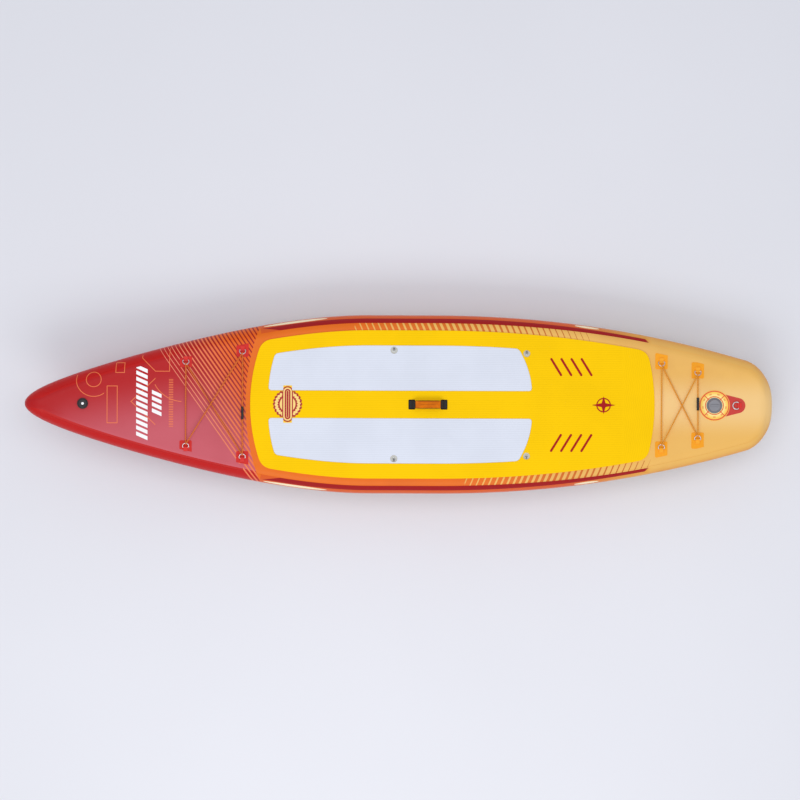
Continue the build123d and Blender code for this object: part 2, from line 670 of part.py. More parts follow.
for end_name, end_stations, joiner_y in (
    ("bow", BOW_STATIONS, BOW_JOINER_Y),
    ("stern", STERN_STATIONS, STERN_JOINER_Y),
):
    joiner, along, corners = bungee_route(end_stations, joiner_y)
    first = joiner + along * (CORD_END_GAP / 2)
    last = joiner - along * (CORD_END_GAP / 2)
    with BuildPart() as bungee:
        with BuildLine() as route:
            FilletPolyline(first, *corners, last, radius=[TURN_FILLET] * len(corners))
        with BuildSketch(Plane(origin=route.wire() @ 0, z_dir=route.wire() % 0)):
            Circle(CORD_RADIUS)
        sweep(path=route.wire())
    bungee.part.label = f"{end_name}_bungee"
    export_step(bungee.part, f"parts/{end_name}_bungee.step")
    ideal = math.pi * CORD_RADIUS**2 * route.wire().length
    print(end_name, "bungee length", round(route.wire().length, 1), "radii", TURN_FILLET)
    print(end_name, "bungee volume", round(bungee.part.volume, 1), "section x length", round(ideal, 1))

    with BuildPart() as cord_joiner:
        with BuildSketch(Plane(origin=joiner, z_dir=along)):
            Circle(JOINER_RADIUS)
            Circle(CORD_RADIUS + GLUE, mode=Mode.SUBTRACT)
        extrude(amount=JOINER_LENGTH / 2, both=True)
        fillet(cord_joiner.edges().filter_by(GeomType.CIRCLE).group_by(SortBy.RADIUS)[-1], 1.5)
    cord_joiner.part.label = f"{end_name}_cord_joiner"
    export_step(cord_joiner.part, f"parts/{end_name}_cord_joiner.step")

# ------------------------------------------------------------------ accessory mount at the nose
MOUNT_X = 1482.0
MOUNT_RADIUS, MOUNT_HEIGHT = 25.0, 10.0
INSERT_RADIUS, INSERT_BORE, INSERT_DEPTH = 6.0, 3.0, 8.0
mount_plane = deck_plane(MOUNT_X, 0)
with BuildPart() as accessory_mount_base:
    with BuildSketch(mount_plane):
        Circle(MOUNT_RADIUS)
    extrude(amount=MOUNT_HEIGHT)
    chamfer(accessory_mount_base.faces().sort_by(Axis.Z)[-1].edges(), 4, 7)
    with BuildSketch(mount_plane.offset(MOUNT_HEIGHT - INSERT_DEPTH - 1)):
        Circle(INSERT_RADIUS + GLUE)
    extrude(amount=MOUNT_HEIGHT, mode=Mode.SUBTRACT)
accessory_mount_base.part.label = "accessory_mount_base"
export_step(accessory_mount_base.part, "parts/accessory_mount_base.step")

with BuildPart() as accessory_mount_insert:
    with BuildSketch(mount_plane.offset(MOUNT_HEIGHT - INSERT_DEPTH - 1)):
        Circle(INSERT_RADIUS)
    extrude(amount=INSERT_DEPTH + 1.5)
    with BuildSketch(mount_plane.offset(MOUNT_HEIGHT - INSERT_DEPTH + 0.5)):
        Circle(INSERT_BORE)
    extrude(amount=INSERT_DEPTH, mode=Mode.SUBTRACT)
accessory_mount_insert.part.label = "accessory_mount_insert"
export_step(accessory_mount_insert.part, "parts/accessory_mount_insert.step")


# ------------------------------------------------------------------ inflation valve
def turned_profile(plane, points):
    """Half profile (radius, height) in the plane that holds the turning axis."""
    with BuildSketch(Plane(origin=plane.origin, x_dir=plane.x_dir, z_dir=-plane.y_dir)) as profile:
        with BuildLine():
            Polyline(*points, close=True)
        make_face()
    return profile.sketch


valve_axis = Axis(valve_plane.origin, valve_plane.z_dir)
THROAT = 18.0
FLANGE_TOP = 3.0
WEB_TOP, WEB_BOTTOM = -31.0, -34.0
STEM_RADIUS, STEM_BORE = 3.0, 3.08
AIR_HOLE, AIR_HOLE_PITCH = 4.0, 11.0
SEAL_RADIUS, SEAL_THICK = 16.0, 2.5
BUTTON_RADIUS, BUTTON_TOP, BUTTON_THICK = 6.5, -9.0, 3.0

base_points = [
    (STEM_BORE, WEB_BOTTOM),
    (VALVE_TUBE, WEB_BOTTOM),
    (VALVE_TUBE, GLUE),
    (FLANGE_RADIUS, GLUE),
    (FLANGE_RADIUS, 1.6),
    (FLANGE_RADIUS - 2, FLANGE_TOP),
    (THROAT, FLANGE_TOP),
    (THROAT, WEB_TOP),
    (STEM_BORE, WEB_TOP),
]
base_profile = turned_profile(valve_plane, base_points)
with BuildPart() as valve_base:
    add(base_profile)
    revolve(axis=valve_axis)
    with BuildSketch(valve_plane.offset(WEB_BOTTOM - 1)):
        with PolarLocations(AIR_HOLE_PITCH, 6):
            Circle(AIR_HOLE)
    extrude(amount=WEB_TOP - WEB_BOTTOM + 2, mode=Mode.SUBTRACT)
valve_base.part.label = "valve_base"
export_step(valve_base.part, "parts/valve_base.step")

COLLAR_RADIUS, COLLAR_TOP, COLLAR_BOTTOM = 32.0, -SKIN - 0.1, -9.0
with BuildPart() as valve_collar:
    with BuildSketch(valve_plane.offset(COLLAR_BOTTOM)):
        Circle(COLLAR_RADIUS)
        Circle(VALVE_TUBE + GLUE, mode=Mode.SUBTRACT)
        with PolarLocations(COLLAR_RADIUS, 8):
            Circle(3, mode=Mode.SUBTRACT)
    extrude(amount=COLLAR_TOP - COLLAR_BOTTOM)
valve_collar.part.label = "valve_collar"
export_step(valve_collar.part, "parts/valve_collar.step")

with BuildPart() as valve_seal:
    with BuildSketch(valve_plane.offset(WEB_BOTTOM - GLUE - SEAL_THICK)):
        Circle(SEAL_RADIUS)
        Circle(STEM_RADIUS, mode=Mode.SUBTRACT)
    extrude(amount=SEAL_THICK)
valve_seal.part.label = "valve_seal"
export_step(valve_seal.part, "parts/valve_seal.step")

STEM_FOOT = WEB_BOTTOM - GLUE - SEAL_THICK
pin_points = [
    (0, STEM_FOOT - 2),
    (SEAL_RADIUS / 2, STEM_FOOT - 2),
    (SEAL_RADIUS / 2, STEM_FOOT),
    (STEM_RADIUS, STEM_FOOT),
    (STEM_RADIUS, BUTTON_TOP - BUTTON_THICK),
    (BUTTON_RADIUS, BUTTON_TOP - BUTTON_THICK),
    (BUTTON_RADIUS, BUTTON_TOP - 0.8),
    (BUTTON_RADIUS - 0.8, BUTTON_TOP),
    (0, BUTTON_TOP),
]
pin_profile = turned_profile(valve_plane, pin_points)
with BuildPart() as valve_pin:
    add(pin_profile)
    revolve(axis=valve_axis)
valve_pin.part.label = "valve_pin"
export_step(valve_pin.part, "parts/valve_pin.step")

SPRING_WIRE, SPRING_RADIUS, SPRING_TURNS = 0.6, 4.9, 5
SPRING_FOOT = WEB_TOP + SPRING_WIRE + 0.2
SPRING_HEAD = BUTTON_TOP - BUTTON_THICK - SPRING_WIRE - 0.3
spring_height = SPRING_HEAD - SPRING_FOOT
spring_plane = valve_plane.offset(SPRING_FOOT)
with BuildPart() as valve_spring:
    with BuildLine(spring_plane) as coil:
        Helix(pitch=spring_height / SPRING_TURNS, height=spring_height, radius=SPRING_RADIUS)
    with BuildSketch(Plane(origin=coil.wire() @ 0, z_dir=coil.wire() % 0)):
        Circle(SPRING_WIRE)
    sweep(path=coil.wire())
valve_spring.part.label = "valve_spring"
export_step(valve_spring.part, "parts/valve_spring.step")

CAP_RADIUS, CAP_TOP, CAP_UNDER = 28.5, 12.0, 4.6
PLUG_RADIUS, PLUG_WALL, PLUG_DEPTH = THROAT - 0.4, 2.6, -4.0
SEAL_INNER, SEAL_OUTER = 20.5, 24.5
cap_points = [
    (0, CAP_TOP - 3.5),
    (PLUG_RADIUS - PLUG_WALL, CAP_TOP - 3.5),
    (PLUG_RADIUS - PLUG_WALL, PLUG_DEPTH),
    (PLUG_RADIUS, PLUG_DEPTH),
    (PLUG_RADIUS, CAP_UNDER),
    (CAP_RADIUS - 2.5, CAP_UNDER),
    (CAP_RADIUS - 2.5, FLANGE_TOP + 0.3),
    (CAP_RADIUS, FLANGE_TOP + 0.3),
    (CAP_RADIUS, CAP_TOP - 3.0),
    (CAP_RADIUS - 3.0, CAP_TOP),
    (0, CAP_TOP),
]
cap_profile = turned_profile(valve_plane, cap_points)
GRIP_NOTCHES, NOTCH_RADIUS = 16, 1.4
WING_LENGTH, WING_WIDTH, WING_HEIGHT = 44.0, 7.0, 5.0
with BuildPart() as valve_cap:
    add(cap_profile)
    revolve(axis=valve_axis)
    with BuildSketch(valve_plane.offset(FLANGE_TOP)):
        with PolarLocations(CAP_RADIUS + 0.4, GRIP_NOTCHES):
            Circle(NOTCH_RADIUS)
    extrude(amount=CAP_TOP, mode=Mode.SUBTRACT)
    with BuildSketch(valve_plane.offset(CAP_TOP - 0.5)):
        SlotOverall(WING_LENGTH, WING_WIDTH)
    extrude(amount=WING_HEIGHT)
    fillet(valve_cap.faces().sort_by(Axis.Z)[-1].edges(), 1.5)
valve_cap.part.label = "valve_cap"
export_step(valve_cap.part, "parts/valve_cap.step")

with BuildPart() as cap_seal:
    with BuildSketch(valve_plane.offset(FLANGE_TOP + GLUE)):
        Circle(SEAL_OUTER)
        Circle(SEAL_INNER, mode=Mode.SUBTRACT)
    extrude(amount=CAP_UNDER - FLANGE_TOP - 2 * GLUE)
cap_seal.part.label = "cap_seal"
export_step(cap_seal.part, "parts/cap_seal.step")

with BuildPart() as valve_label:
    with BuildSketch(Plane(origin=(VALVE_X, 0, SKETCH_LEVEL.origin.Z))):
        Circle(LABEL_RADIUS)
        Circle(FLANGE_RADIUS + 0.5, mode=Mode.SUBTRACT)
    extrude(amount=THROUGH)
    add(on_deck_patch, mode=Mode.INTERSECT)
valve_label.part.label = "valve_label"
export_step(valve_label.part, "parts/valve_label.step")

# ------------------------------------------------------------------ leash attachment
LEASH_TIP_X = -1616.0
LEASH_ARC_START = (25.0, 34.0)  # where the round tip begins: ahead of the tip, and off the centre line
LEASH_ROOT_X, LEASH_ROOT_HALF = -1520.0, 52.0
LEASH_BAR_X = -1583.0
LEASH_WIRE, LEASH_HALF_SPAN, LEASH_LEG = 2.5, 16.5, 9.0
LEASH_TILT = 4.0
LEASH_BAR_HEIGHT = PATCH + 4.8
LEASH_STRAP_WIDTH, LEASH_STRAP_TAIL = 24.0, 16.0
leash_port = (LEASH_TIP_X + LEASH_ARC_START[0], LEASH_ARC_START[1])
leash_starboard = (leash_port[0], -leash_port[1])
leash_root_port = (LEASH_ROOT_X, LEASH_ROOT_HALF)
leash_root_starboard = (LEASH_ROOT_X, -LEASH_ROOT_HALF)
with BuildPart() as leash_patch:
    with BuildSketch(SKETCH_LEVEL):
        with BuildLine():
            Polyline(leash_port, leash_root_port, leash_root_starboard, leash_starboard)
            ThreePointArc(leash_port, (LEASH_TIP_X, 0), leash_starboard)
        make_face()
        with Locations((VALVE_X, 0)):
            Circle(LABEL_RADIUS + 0.5, mode=Mode.SUBTRACT)
    extrude(amount=THROUGH)
    add(on_deck_patch, mode=Mode.INTERSECT)
leash_patch.part.label = "leash_patch"
export_step(leash_patch.part, "parts/leash_patch.step")

leash_frame = deck_plane(LEASH_BAR_X, 0, LEASH_BAR_HEIGHT)
leash_foot = LEASH_BAR_HEIGHT - PATCH - GLUE
leash_strap_solid = ring_strap(leash_frame, LEASH_STRAP_WIDTH, LEASH_WIRE, leash_foot, LEASH_STRAP_TAIL)
with BuildPart() as leash_ring_strap:
    add(leash_strap_solid)
leash_ring_strap.part.label = "leash_ring_strap"
export_step(leash_ring_strap.part, "parts/leash_ring_strap.step")

leash_ring_solid = d_ring(tilted(leash_frame, LEASH_TILT), LEASH_HALF_SPAN, LEASH_LEG, LEASH_WIRE)
with BuildPart() as leash_ring:
    add(leash_ring_solid)
leash_ring.part.label = "leash_ring"
export_step(leash_ring.part, "parts/leash_ring.step")

# ------------------------------------------------------------------ seat rings in the pad holes
SEAT_WIRE, SEAT_HALF_SPAN, SEAT_LEG = 1.5, 7.0, 3.5
SEAT_BAR_SHIFT = 5.0  # bar outboard of the hole's centre
SEAT_BAR_HEIGHT = PATCH + 2.9
SEAT_TILT = 3.0
SEAT_STRAP_WIDTH, SEAT_STRAP_TAIL = 8.0, 7.0
with BuildPart() as seat_ring_bases:
    with BuildSketch(SKETCH_LEVEL):
        with Locations(*SEAT_SPOTS):
            Circle(SEAT_HOLE - 0.5)
    extrude(amount=THROUGH)
    add(on_deck_patch, mode=Mode.INTERSECT)
seat_ring_bases.part.label = "seat_ring_bases"
export_step(seat_ring_bases.part, "parts/seat_ring_bases.step")

seat_frames = [
    deck_plane(x, y + math.copysign(SEAT_BAR_SHIFT, y), SEAT_BAR_HEIGHT, inboard=-math.copysign(1, y))
    for x, y in SEAT_SPOTS
]
seat_foot = SEAT_BAR_HEIGHT - PATCH - GLUE
seat_straps = [
    ring_strap(frame, SEAT_STRAP_WIDTH, SEAT_WIRE, seat_foot, SEAT_STRAP_TAIL) for frame in seat_frames
]
with BuildPart() as seat_ring_straps:
    add(seat_straps)
seat_ring_straps.part.label = "seat_ring_straps"
export_step(seat_ring_straps.part, "parts/seat_ring_straps.step")

for number, frame in enumerate(seat_frames, start=1):
    ring_solid = d_ring(tilted(frame, SEAT_TILT), SEAT_HALF_SPAN, SEAT_LEG, SEAT_WIRE)
    with BuildPart() as seat_ring:
        add(ring_solid)
    seat_ring.part.label = f"seat_ring_{number}"
    export_step(seat_ring.part, f"parts/seat_ring_{number}.step")

# ------------------------------------------------------------------ fins under the tail
FIN_TIP_Z = -110.0
FIN_X = -1350.0
SIDE_FIN_X, SIDE_FIN_Y = -1250.0, 175.0
fin_plane = bottom_plane(FIN_X, 0)  # X to the nose, Z down
FLANGE = (300.0, 76.0)
FLANGE_THICK = 3.0
HOUSING = (246.0, 26.0)
HOUSING_DEPTH = 26.0
CHANNEL = (216.0, 10.0)
CHANNEL_ROOF = 6.0
GROOVE_WIDTH, GROOVE_TOP, GROOVE_BOTTOM = 16.0, 11.0, 16.6
RUNNING = 0.3

with BuildPart() as fin_box_patch:
    with BuildSketch(Plane(origin=(FIN_X, 0, SKETCH_LEVEL.origin.Z))):
        RectangleRounded(FLANGE[0] + 50, FLANGE[1] + 40, 20)
    extrude(amount=THROUGH)
    add(under_hull_patch, mode=Mode.INTERSECT)
fin_box_patch.part.label = "fin_box_patch"
export_step(fin_box_patch.part, "parts/fin_box_patch.step")

above_patch = slab(0, -PATCH - GLUE, 60)
with BuildPart() as fin_box:
    with BuildSketch(fin_plane.offset(-4)):
        RectangleRounded(*FLANGE, 14)
    extrude(amount=4 + PATCH + FLANGE_THICK)
    with BuildSketch(fin_plane):
        RectangleRounded(*HOUSING, 12)
    extrude(amount=HOUSING_DEPTH)
    add(above_patch, mode=Mode.SUBTRACT)
    with BuildSketch(fin_plane.offset(CHANNEL_ROOF)):
        Rectangle(*CHANNEL)
    extrude(amount=HOUSING_DEPTH, mode=Mode.SUBTRACT)
    with BuildSketch(fin_plane.offset(GROOVE_TOP)):
        Rectangle(CHANNEL[0], GROOVE_WIDTH)
    extrude(amount=GROOVE_BOTTOM - GROOVE_TOP, mode=Mode.SUBTRACT)
fin_box.part.label = "fin_box"
export_step(fin_box.part, "parts/fin_box.step")


def blade_sections(plane, root_depth, tip_depth, root_chord, tip_chord, rake, thickness):
    """Foil sections from root to tip: lens shapes whose front edge sweeps back."""
    sections = []
    for step in range(5):
        share = step / 4
        chord = root_chord + (tip_chord - root_chord) * share**1.5
        depth = root_depth + (tip_depth - root_depth) * share
        middle = (root_chord - chord) / 2 * 0.6 - rake * share**1.6
        sections.append((plane.offset(depth), middle, chord, thickness * (1 - 0.45 * share)))
    return sections


TAB_LENGTH, TAB_ROOF, TAB_FOOT = 154.0, CHANNEL_ROOF + 1.0, HOUSING_DEPTH + 0.4
EAR_START, EAR_TOP = 52.0, 17.4
PIN_X, SCREW_X = -62.0, 64.0
GROOVE_MIDDLE = (GROOVE_TOP + GROOVE_BOTTOM) / 2
CROSS_PIN_RADIUS = (GROOVE_BOTTOM - GROOVE_TOP) / 2 - 0.2
SCREW_RADIUS = 2.0
blade_root = TAB_FOOT - 1.0
cross_pin_plane = Plane(origin=fin_plane.from_local_coords((PIN_X, 0, GROOVE_MIDDLE)), z_dir=fin_plane.y_dir)
blade_tip = (fin_plane.origin.Z - FIN_TIP_Z) / abs(fin_plane.z_dir.Z)
centre_blade = blade_sections(fin_plane, blade_root, blade_tip, 122.0, 48.0, 40.0, 9.0)
with BuildPart() as centre_fin:
    with BuildSketch(fin_plane.offset(TAB_ROOF)):
        Rectangle(TAB_LENGTH, CHANNEL[1] - 2 * RUNNING)
    extrude(amount=TAB_FOOT - TAB_ROOF)
    with BuildSketch(fin_plane.offset(TAB_ROOF - 1)):
        with Locations((TAB_LENGTH / 2, 0)):
            Rectangle(2 * (TAB_LENGTH / 2 - EAR_START), CHANNEL[1])
    extrude(amount=EAR_TOP - TAB_ROOF + 1, mode=Mode.SUBTRACT)
    for section_at, middle, chord, thick in centre_blade:
        with BuildSketch(section_at):
            with Locations((middle - 14, 0)):
                Ellipse(chord / 2, thick / 2)
    loft(ruled=False)
    with BuildSketch(cross_pin_plane):
        Circle(CROSS_PIN_RADIUS)
    extrude(amount=CHANNEL[1], both=True, mode=Mode.SUBTRACT)
    with BuildSketch(fin_plane.offset(EAR_TOP - 2)):
        with Locations((SCREW_X, 0)):
            Circle(SCREW_RADIUS + 0.05)
    extrude(amount=HOUSING_DEPTH, mode=Mode.SUBTRACT)
centre_fin.part.label = "centre_fin"
export_step(centre_fin.part, "parts/centre_fin.step")

with BuildPart() as fin_pin:
    with BuildSketch(cross_pin_plane):
        Circle(CROSS_PIN_RADIUS)
    extrude(amount=GROOVE_WIDTH / 2 - RUNNING, both=True)
fin_pin.part.label = "fin_pin"
export_step(fin_pin.part, "parts/fin_pin.step")

NUT_PLATE = (16.0, GROOVE_WIDTH - 2 * RUNNING)
NUT_TOP, NUT_BOTTOM = GROOVE_TOP + RUNNING, GROOVE_BOTTOM - RUNNING
with BuildPart() as fin_nut_plate:
    with BuildSketch(fin_plane.offset(NUT_TOP)):
        with Locations((SCREW_X, 0)):
            Rectangle(*NUT_PLATE)
            Circle(SCREW_RADIUS + 0.05, mode=Mode.SUBTRACT)
    extrude(amount=NUT_BOTTOM - NUT_TOP)
fin_nut_plate.part.label = "fin_nut_plate"
export_step(fin_nut_plate.part, "parts/fin_nut_plate.step")

HEAD_RADIUS, HEAD_HEIGHT = 4.4, 5.0
SCREW_TOP = NUT_TOP - 1.0
with BuildPart() as fin_screw:
    with BuildSketch(fin_plane.offset(SCREW_TOP)):
        with Locations((SCREW_X, 0)):
            Circle(SCREW_RADIUS)
    extrude(amount=TAB_FOOT + RUNNING - SCREW_TOP)
    with BuildSketch(fin_plane.offset(TAB_FOOT + RUNNING)):
        with Locations((SCREW_X, 0)):
            Circle(HEAD_RADIUS)
            with PolarLocations(HEAD_RADIUS, 12):
                Circle(0.5, mode=Mode.SUBTRACT)
    extrude(amount=HEAD_HEIGHT)
    with BuildSketch(fin_plane.offset(TAB_FOOT + RUNNING + HEAD_HEIGHT - 1.4)):
        with Locations((SCREW_X, 0)):
            Rectangle(2 * HEAD_RADIUS, 1.2)
    extrude(amount=3, mode=Mode.SUBTRACT)
fin_screw.part.label = "fin_screw"
export_step(fin_screw.part, "parts/fin_screw.step")

SIDE_FOOT = (130.0, 36.0)
with BuildPart() as side_fin_bases:
    with BuildSketch(SKETCH_LEVEL):
        with Locations((SIDE_FIN_X, SIDE_FIN_Y), (SIDE_FIN_X, -SIDE_FIN_Y)):
            SlotOverall(*SIDE_FOOT)
    extrude(amount=THROUGH)
    add(under_hull_patch, mode=Mode.INTERSECT)
side_fin_bases.part.label = "side_fin_bases"
export_step(side_fin_bases.part, "parts/side_fin_bases.step")

for side_name, side in (("port", 1), ("starboard", -1)):
    side_plane = bottom_plane(SIDE_FIN_X, side * SIDE_FIN_Y)
    side_tip = (side_plane.origin.Z - FIN_TIP_Z) / abs(side_plane.z_dir.Z)
    side_blade = blade_sections(side_plane, PATCH + 0.4, side_tip, 112.0, 40.0, 36.0, 8.0)
    with BuildPart() as side_fin:
        for section_at, middle, chord, thick in side_blade:
            with BuildSketch(section_at):
                with Locations((middle, 0)):
                    Ellipse(chord / 2, thick / 2)
        loft(ruled=False)
    side_fin.part.label = f"{side_name}_side_fin"
    export_step(side_fin.part, f"parts/{side_name}_side_fin.step")
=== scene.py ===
"""Looks of an inflatable touring stand up paddleboard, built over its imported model, in metres.

+X points to the nose, +Y to port and +Z up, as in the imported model.
"""

import logging
import math
from dataclasses import dataclass
from enum import Enum
from typing import Optional, Sequence, Union

import bmesh
import bpy
import numpy as np
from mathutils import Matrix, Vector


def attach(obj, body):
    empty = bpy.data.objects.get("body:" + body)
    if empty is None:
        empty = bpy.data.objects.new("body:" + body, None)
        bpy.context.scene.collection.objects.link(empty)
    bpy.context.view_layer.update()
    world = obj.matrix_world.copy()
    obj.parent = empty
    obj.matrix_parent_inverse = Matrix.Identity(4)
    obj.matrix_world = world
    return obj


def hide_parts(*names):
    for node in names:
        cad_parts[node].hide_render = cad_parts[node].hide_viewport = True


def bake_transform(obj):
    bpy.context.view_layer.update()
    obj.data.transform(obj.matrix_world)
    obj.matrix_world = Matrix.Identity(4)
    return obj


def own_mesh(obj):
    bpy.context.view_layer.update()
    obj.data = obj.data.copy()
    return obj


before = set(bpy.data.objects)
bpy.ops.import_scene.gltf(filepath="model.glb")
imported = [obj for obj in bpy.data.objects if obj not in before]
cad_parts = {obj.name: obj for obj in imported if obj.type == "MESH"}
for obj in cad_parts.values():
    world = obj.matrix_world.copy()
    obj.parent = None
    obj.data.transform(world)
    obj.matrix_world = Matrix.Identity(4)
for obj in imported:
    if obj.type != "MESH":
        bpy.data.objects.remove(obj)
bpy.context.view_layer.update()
LOG = logging.getLogger("paddleboard")
Colour = tuple[float, float, float]


# ---------------------------------------------------------------- shader kit
class Signal:
    """A number that varies over a surface; arithmetic on it adds Math nodes."""

    def __init__(self, recipe: "Recipe", socket: bpy.types.NodeSocket) -> None:
        """Wrap an output socket.

        Args:
            recipe: The material's recipe that the socket belongs to.
            socket: The output socket.
        """
        self.recipe = recipe
        self.socket = socket

    def __add__(self, other: "Value") -> "Signal":
        """Sum."""
        return self.recipe.math("ADD", self, other)

    __radd__ = __add__

    def __sub__(self, other: "Value") -> "Signal":
        """Difference."""
        return self.recipe.math("SUBTRACT", self, other)

    def __rsub__(self, other: "Value") -> "Signal":
        """Difference with the signal on the right, so that 1 - mask works."""
        return self.recipe.math("SUBTRACT", other, self)

    def __mul__(self, other: "Value") -> "Signal":
        """Product, which is also the overlap of two masks."""
        return self.recipe.math("MULTIPLY", self, other)

    __rmul__ = __mul__

    def __truediv__(self, other: "Value") -> "Signal":
        """Quotient."""
        return self.recipe.math("DIVIDE", self, other)

    def __abs__(self) -> "Signal":
        """Size without sign."""
        return self.recipe.math("ABSOLUTE", self)

    def __or__(self, other: "Value") -> "Signal":
        """The larger of the two, which joins two masks."""
        return self.recipe.math("MAXIMUM", self, other)

    def __and__(self, other: "Value") -> "Signal":
        """The smaller of the two."""
        return self.recipe.math("MINIMUM", self, other)

    def __gt__(self, other: "Value") -> "Signal":
        """Mask where the signal is above other."""
        return self.recipe.math("GREATER_THAN", self, other)

    def __lt__(self, other: "Value") -> "Signal":
        """Mask where the signal is below other."""
        return self.recipe.math("LESS_THAN", self, other)

    def sine(self) -> "Signal":
        """Sine of the signal, in radians."""
        return self.recipe.math("SINE", self)

    def share(self) -> "Signal":
        """What is left above the whole number below."""
        return self.recipe.math("FRACT", self)

    def whole(self) -> "Signal":
        """The whole number below."""
        return self.recipe.math("FLOOR", self)

    def root(self) -> "Signal":
        """Square root."""
        return self.recipe.math("SQRT", self)

    def squared(self) -> "Signal":
        """The signal times itself."""
        return self * self

    def rising(self, low: float, high: float) -> "Signal":
        """Smooth step.

        Args:
            low: Where the step starts.
            high: Where it ends.

        Returns:
            0 at low, 1 at high and a smooth curve between them.
        """
        return self.recipe.node(
            "ShaderNodeMapRange",
            {"interpolation_type": "SMOOTHSTEP"},
            {"Value": self, "From Min": low, "From Max": high, "To Min": 0.0, "To Max": 1.0},
        )

    def within(self, low: "Value", high: "Value") -> "Signal":
        """Mask of a band.

        Args:
            low: Lower edge.
            high: Upper edge.

        Returns:
            1 between the edges and 0 elsewhere.
        """
        return (self > low) * (self < high)


Value = Union[float, Signal]


def distance(u: Signal, v: Signal) -> Signal:
    """Length of the offset (u, v): the square root of the sum of the squares."""
    return (u.squared() + v.squared()).root()


def weave_of(x: Signal, y: Signal, pitch: float) -> Signal:
    """Plain weave from 0 to 1: the product of a sine along x and one along y, a pitch long each."""
    turn = 2 * math.pi / pitch
    return ((x * turn).sine() * (y * turn).sine()) * 0.5 + 0.5


class Recipe:
    """The node tree of one material."""

    def __init__(self, name: str) -> None:
        """Start a material with a Principled surface.

        Args:
            name: The material's name.
        """
        self.material = bpy.data.materials.new(name)
        self.material.use_nodes = True
        self.tree = self.material.node_tree
        self.tree.nodes.clear()
        self.surface = self.tree.nodes.new("ShaderNodeBsdfPrincipled")
        output = self.tree.nodes.new("ShaderNodeOutputMaterial")
        self.tree.links.new(self.surface.outputs[0], output.inputs["Surface"])

    def feed(self, socket: bpy.types.NodeSocket, value: object) -> None:
        """Link a signal or a socket to an input, or set the input's own value.

        Args:
            socket: The input.
            value: A signal, an output socket, a number or a tuple.
        """
        source = value.socket if isinstance(value, Signal) else value
        if isinstance(source, bpy.types.NodeSocket):
            self.tree.links.new(source, socket)
        else:
            socket.default_value = source

    def node(self, kind: str, settings: dict, inputs: dict, output: Union[int, str] = 0) -> Signal:
        """Add any node.

        Args:
            kind: The node's type.
            settings: Its settings, set before its inputs; "stops" holds a ramp's (place, colour) pairs.
            inputs: Values or links by input name or number.
            output: The output to hand back.

        Returns:
            The chosen output as a signal.
        """
        node = self.tree.nodes.new(kind)
        for key, value in settings.items():
            if key == "stops":
                for place, colour in value[2:]:
                    node.color_ramp.elements.new(place)
                for element, (place, colour) in zip(node.color_ramp.elements, value):
                    element.position, element.color = place, (*colour, 1)
            else:
                setattr(node, key, value)
        for key, value in inputs.items():
            self.feed(node.inputs[key], value)
        return Signal(self, node.outputs[output])

    def math(self, operation: str, *values: Value) -> Signal:
        """Add a Math node.

        Args:
            operation: The node's operation.
            values: Its one or two inputs.

        Returns:
            The result.
        """
        return self.node("ShaderNodeMath", {"operation": operation}, dict(enumerate(values)))

    def place(self) -> tuple[Signal, Signal, Signal]:
        """Object coordinates x, y and z, in metres."""
        spot = self.node("ShaderNodeTexCoord", {}, {}, "Object")
        parts = [self.node("ShaderNodeSeparateXYZ", {}, {0: spot}, axis) for axis in (0, 1, 2)]
        return parts[0], parts[1], parts[2]

    def own(self, name: str) -> Signal:
        """A number stored on the mesh's points, by attribute name."""
        return self.node("ShaderNodeAttribute", {"attribute_name": name}, {}, "Fac")

    def noise(self, scale: float, detail: float = 3.0, stretch: Sequence[float] = (1, 1, 1)) -> Signal:
        """Noise on Object coordinates.

        Args:
            scale: Spots per metre.
            detail: Octaves.
            stretch: Factor on each axis.

        Returns:
            Noise about 0.5.
        """
        spot = self.node("ShaderNodeTexCoord", {}, {}, "Object")
        seat = self.node("ShaderNodeMapping", {}, {"Vector": spot, "Scale": tuple(stretch)})
        return self.node("ShaderNodeTexNoise", {}, {"Vector": seat, "Scale": scale, "Detail": detail})

    def mix(self, mask: Value, first: object, second: object) -> Signal:
        """Mix two colours.

        Args:
            mask: 0 for the first and 1 for the second.
            first: Colour or colour signal.
            second: Colour or colour signal.

        Returns:
            The mixed colour.
        """
        pair = [(*c, 1) if isinstance(c, tuple) and len(c) == 3 else c for c in (first, second)]
        return self.node("ShaderNodeMix", {"data_type": "RGBA"}, {0: mask, 6: pair[0], 7: pair[1]}, 2)

    def paint(self, colour: object, roughness: Value, height: Optional[Signal] = None, relief: float = 0.0005,
              **constants: float) -> bpy.types.Material:
        """Finish the surface.

        Args:
            colour: Base colour.
            roughness: Roughness.
            height: Bump height from 0 to 1.
            relief: Depth of the bump, in metres.
            constants: Other Principled inputs, with _ for a space.

        Returns:
            The finished material.
        """
        self.feed(self.surface.inputs["Base Color"], (*colour, 1) if isinstance(colour, tuple) else colour)
        self.feed(self.surface.inputs["Roughness"], roughness)
        for key, value in constants.items():
            self.feed(self.surface.inputs[key.replace("_", " ")], value)
        if height is not None:
            bump = self.node("ShaderNodeBump", {}, {"Strength": 0.8, "Distance": relief, "Height": height})
            self.feed(self.surface.inputs["Normal"], bump)
        return self.material


def shade(red: float, green: float, blue: float) -> Colour:
    """Linear colour.

    Args:
        red: Red from 0 to 255 as seen on a screen.
        green: Green likewise.
        blue: Blue likewise.

    Returns:
        The three linear values.
    """
    seen = np.array([red, green, blue]) / 255
    linear = np.where(seen <= 0.04045, seen / 12.92, ((seen + 0.055) / 1.055) ** 2.4)
    return float(linear[0]), float(linear[1]), float(linear[2])


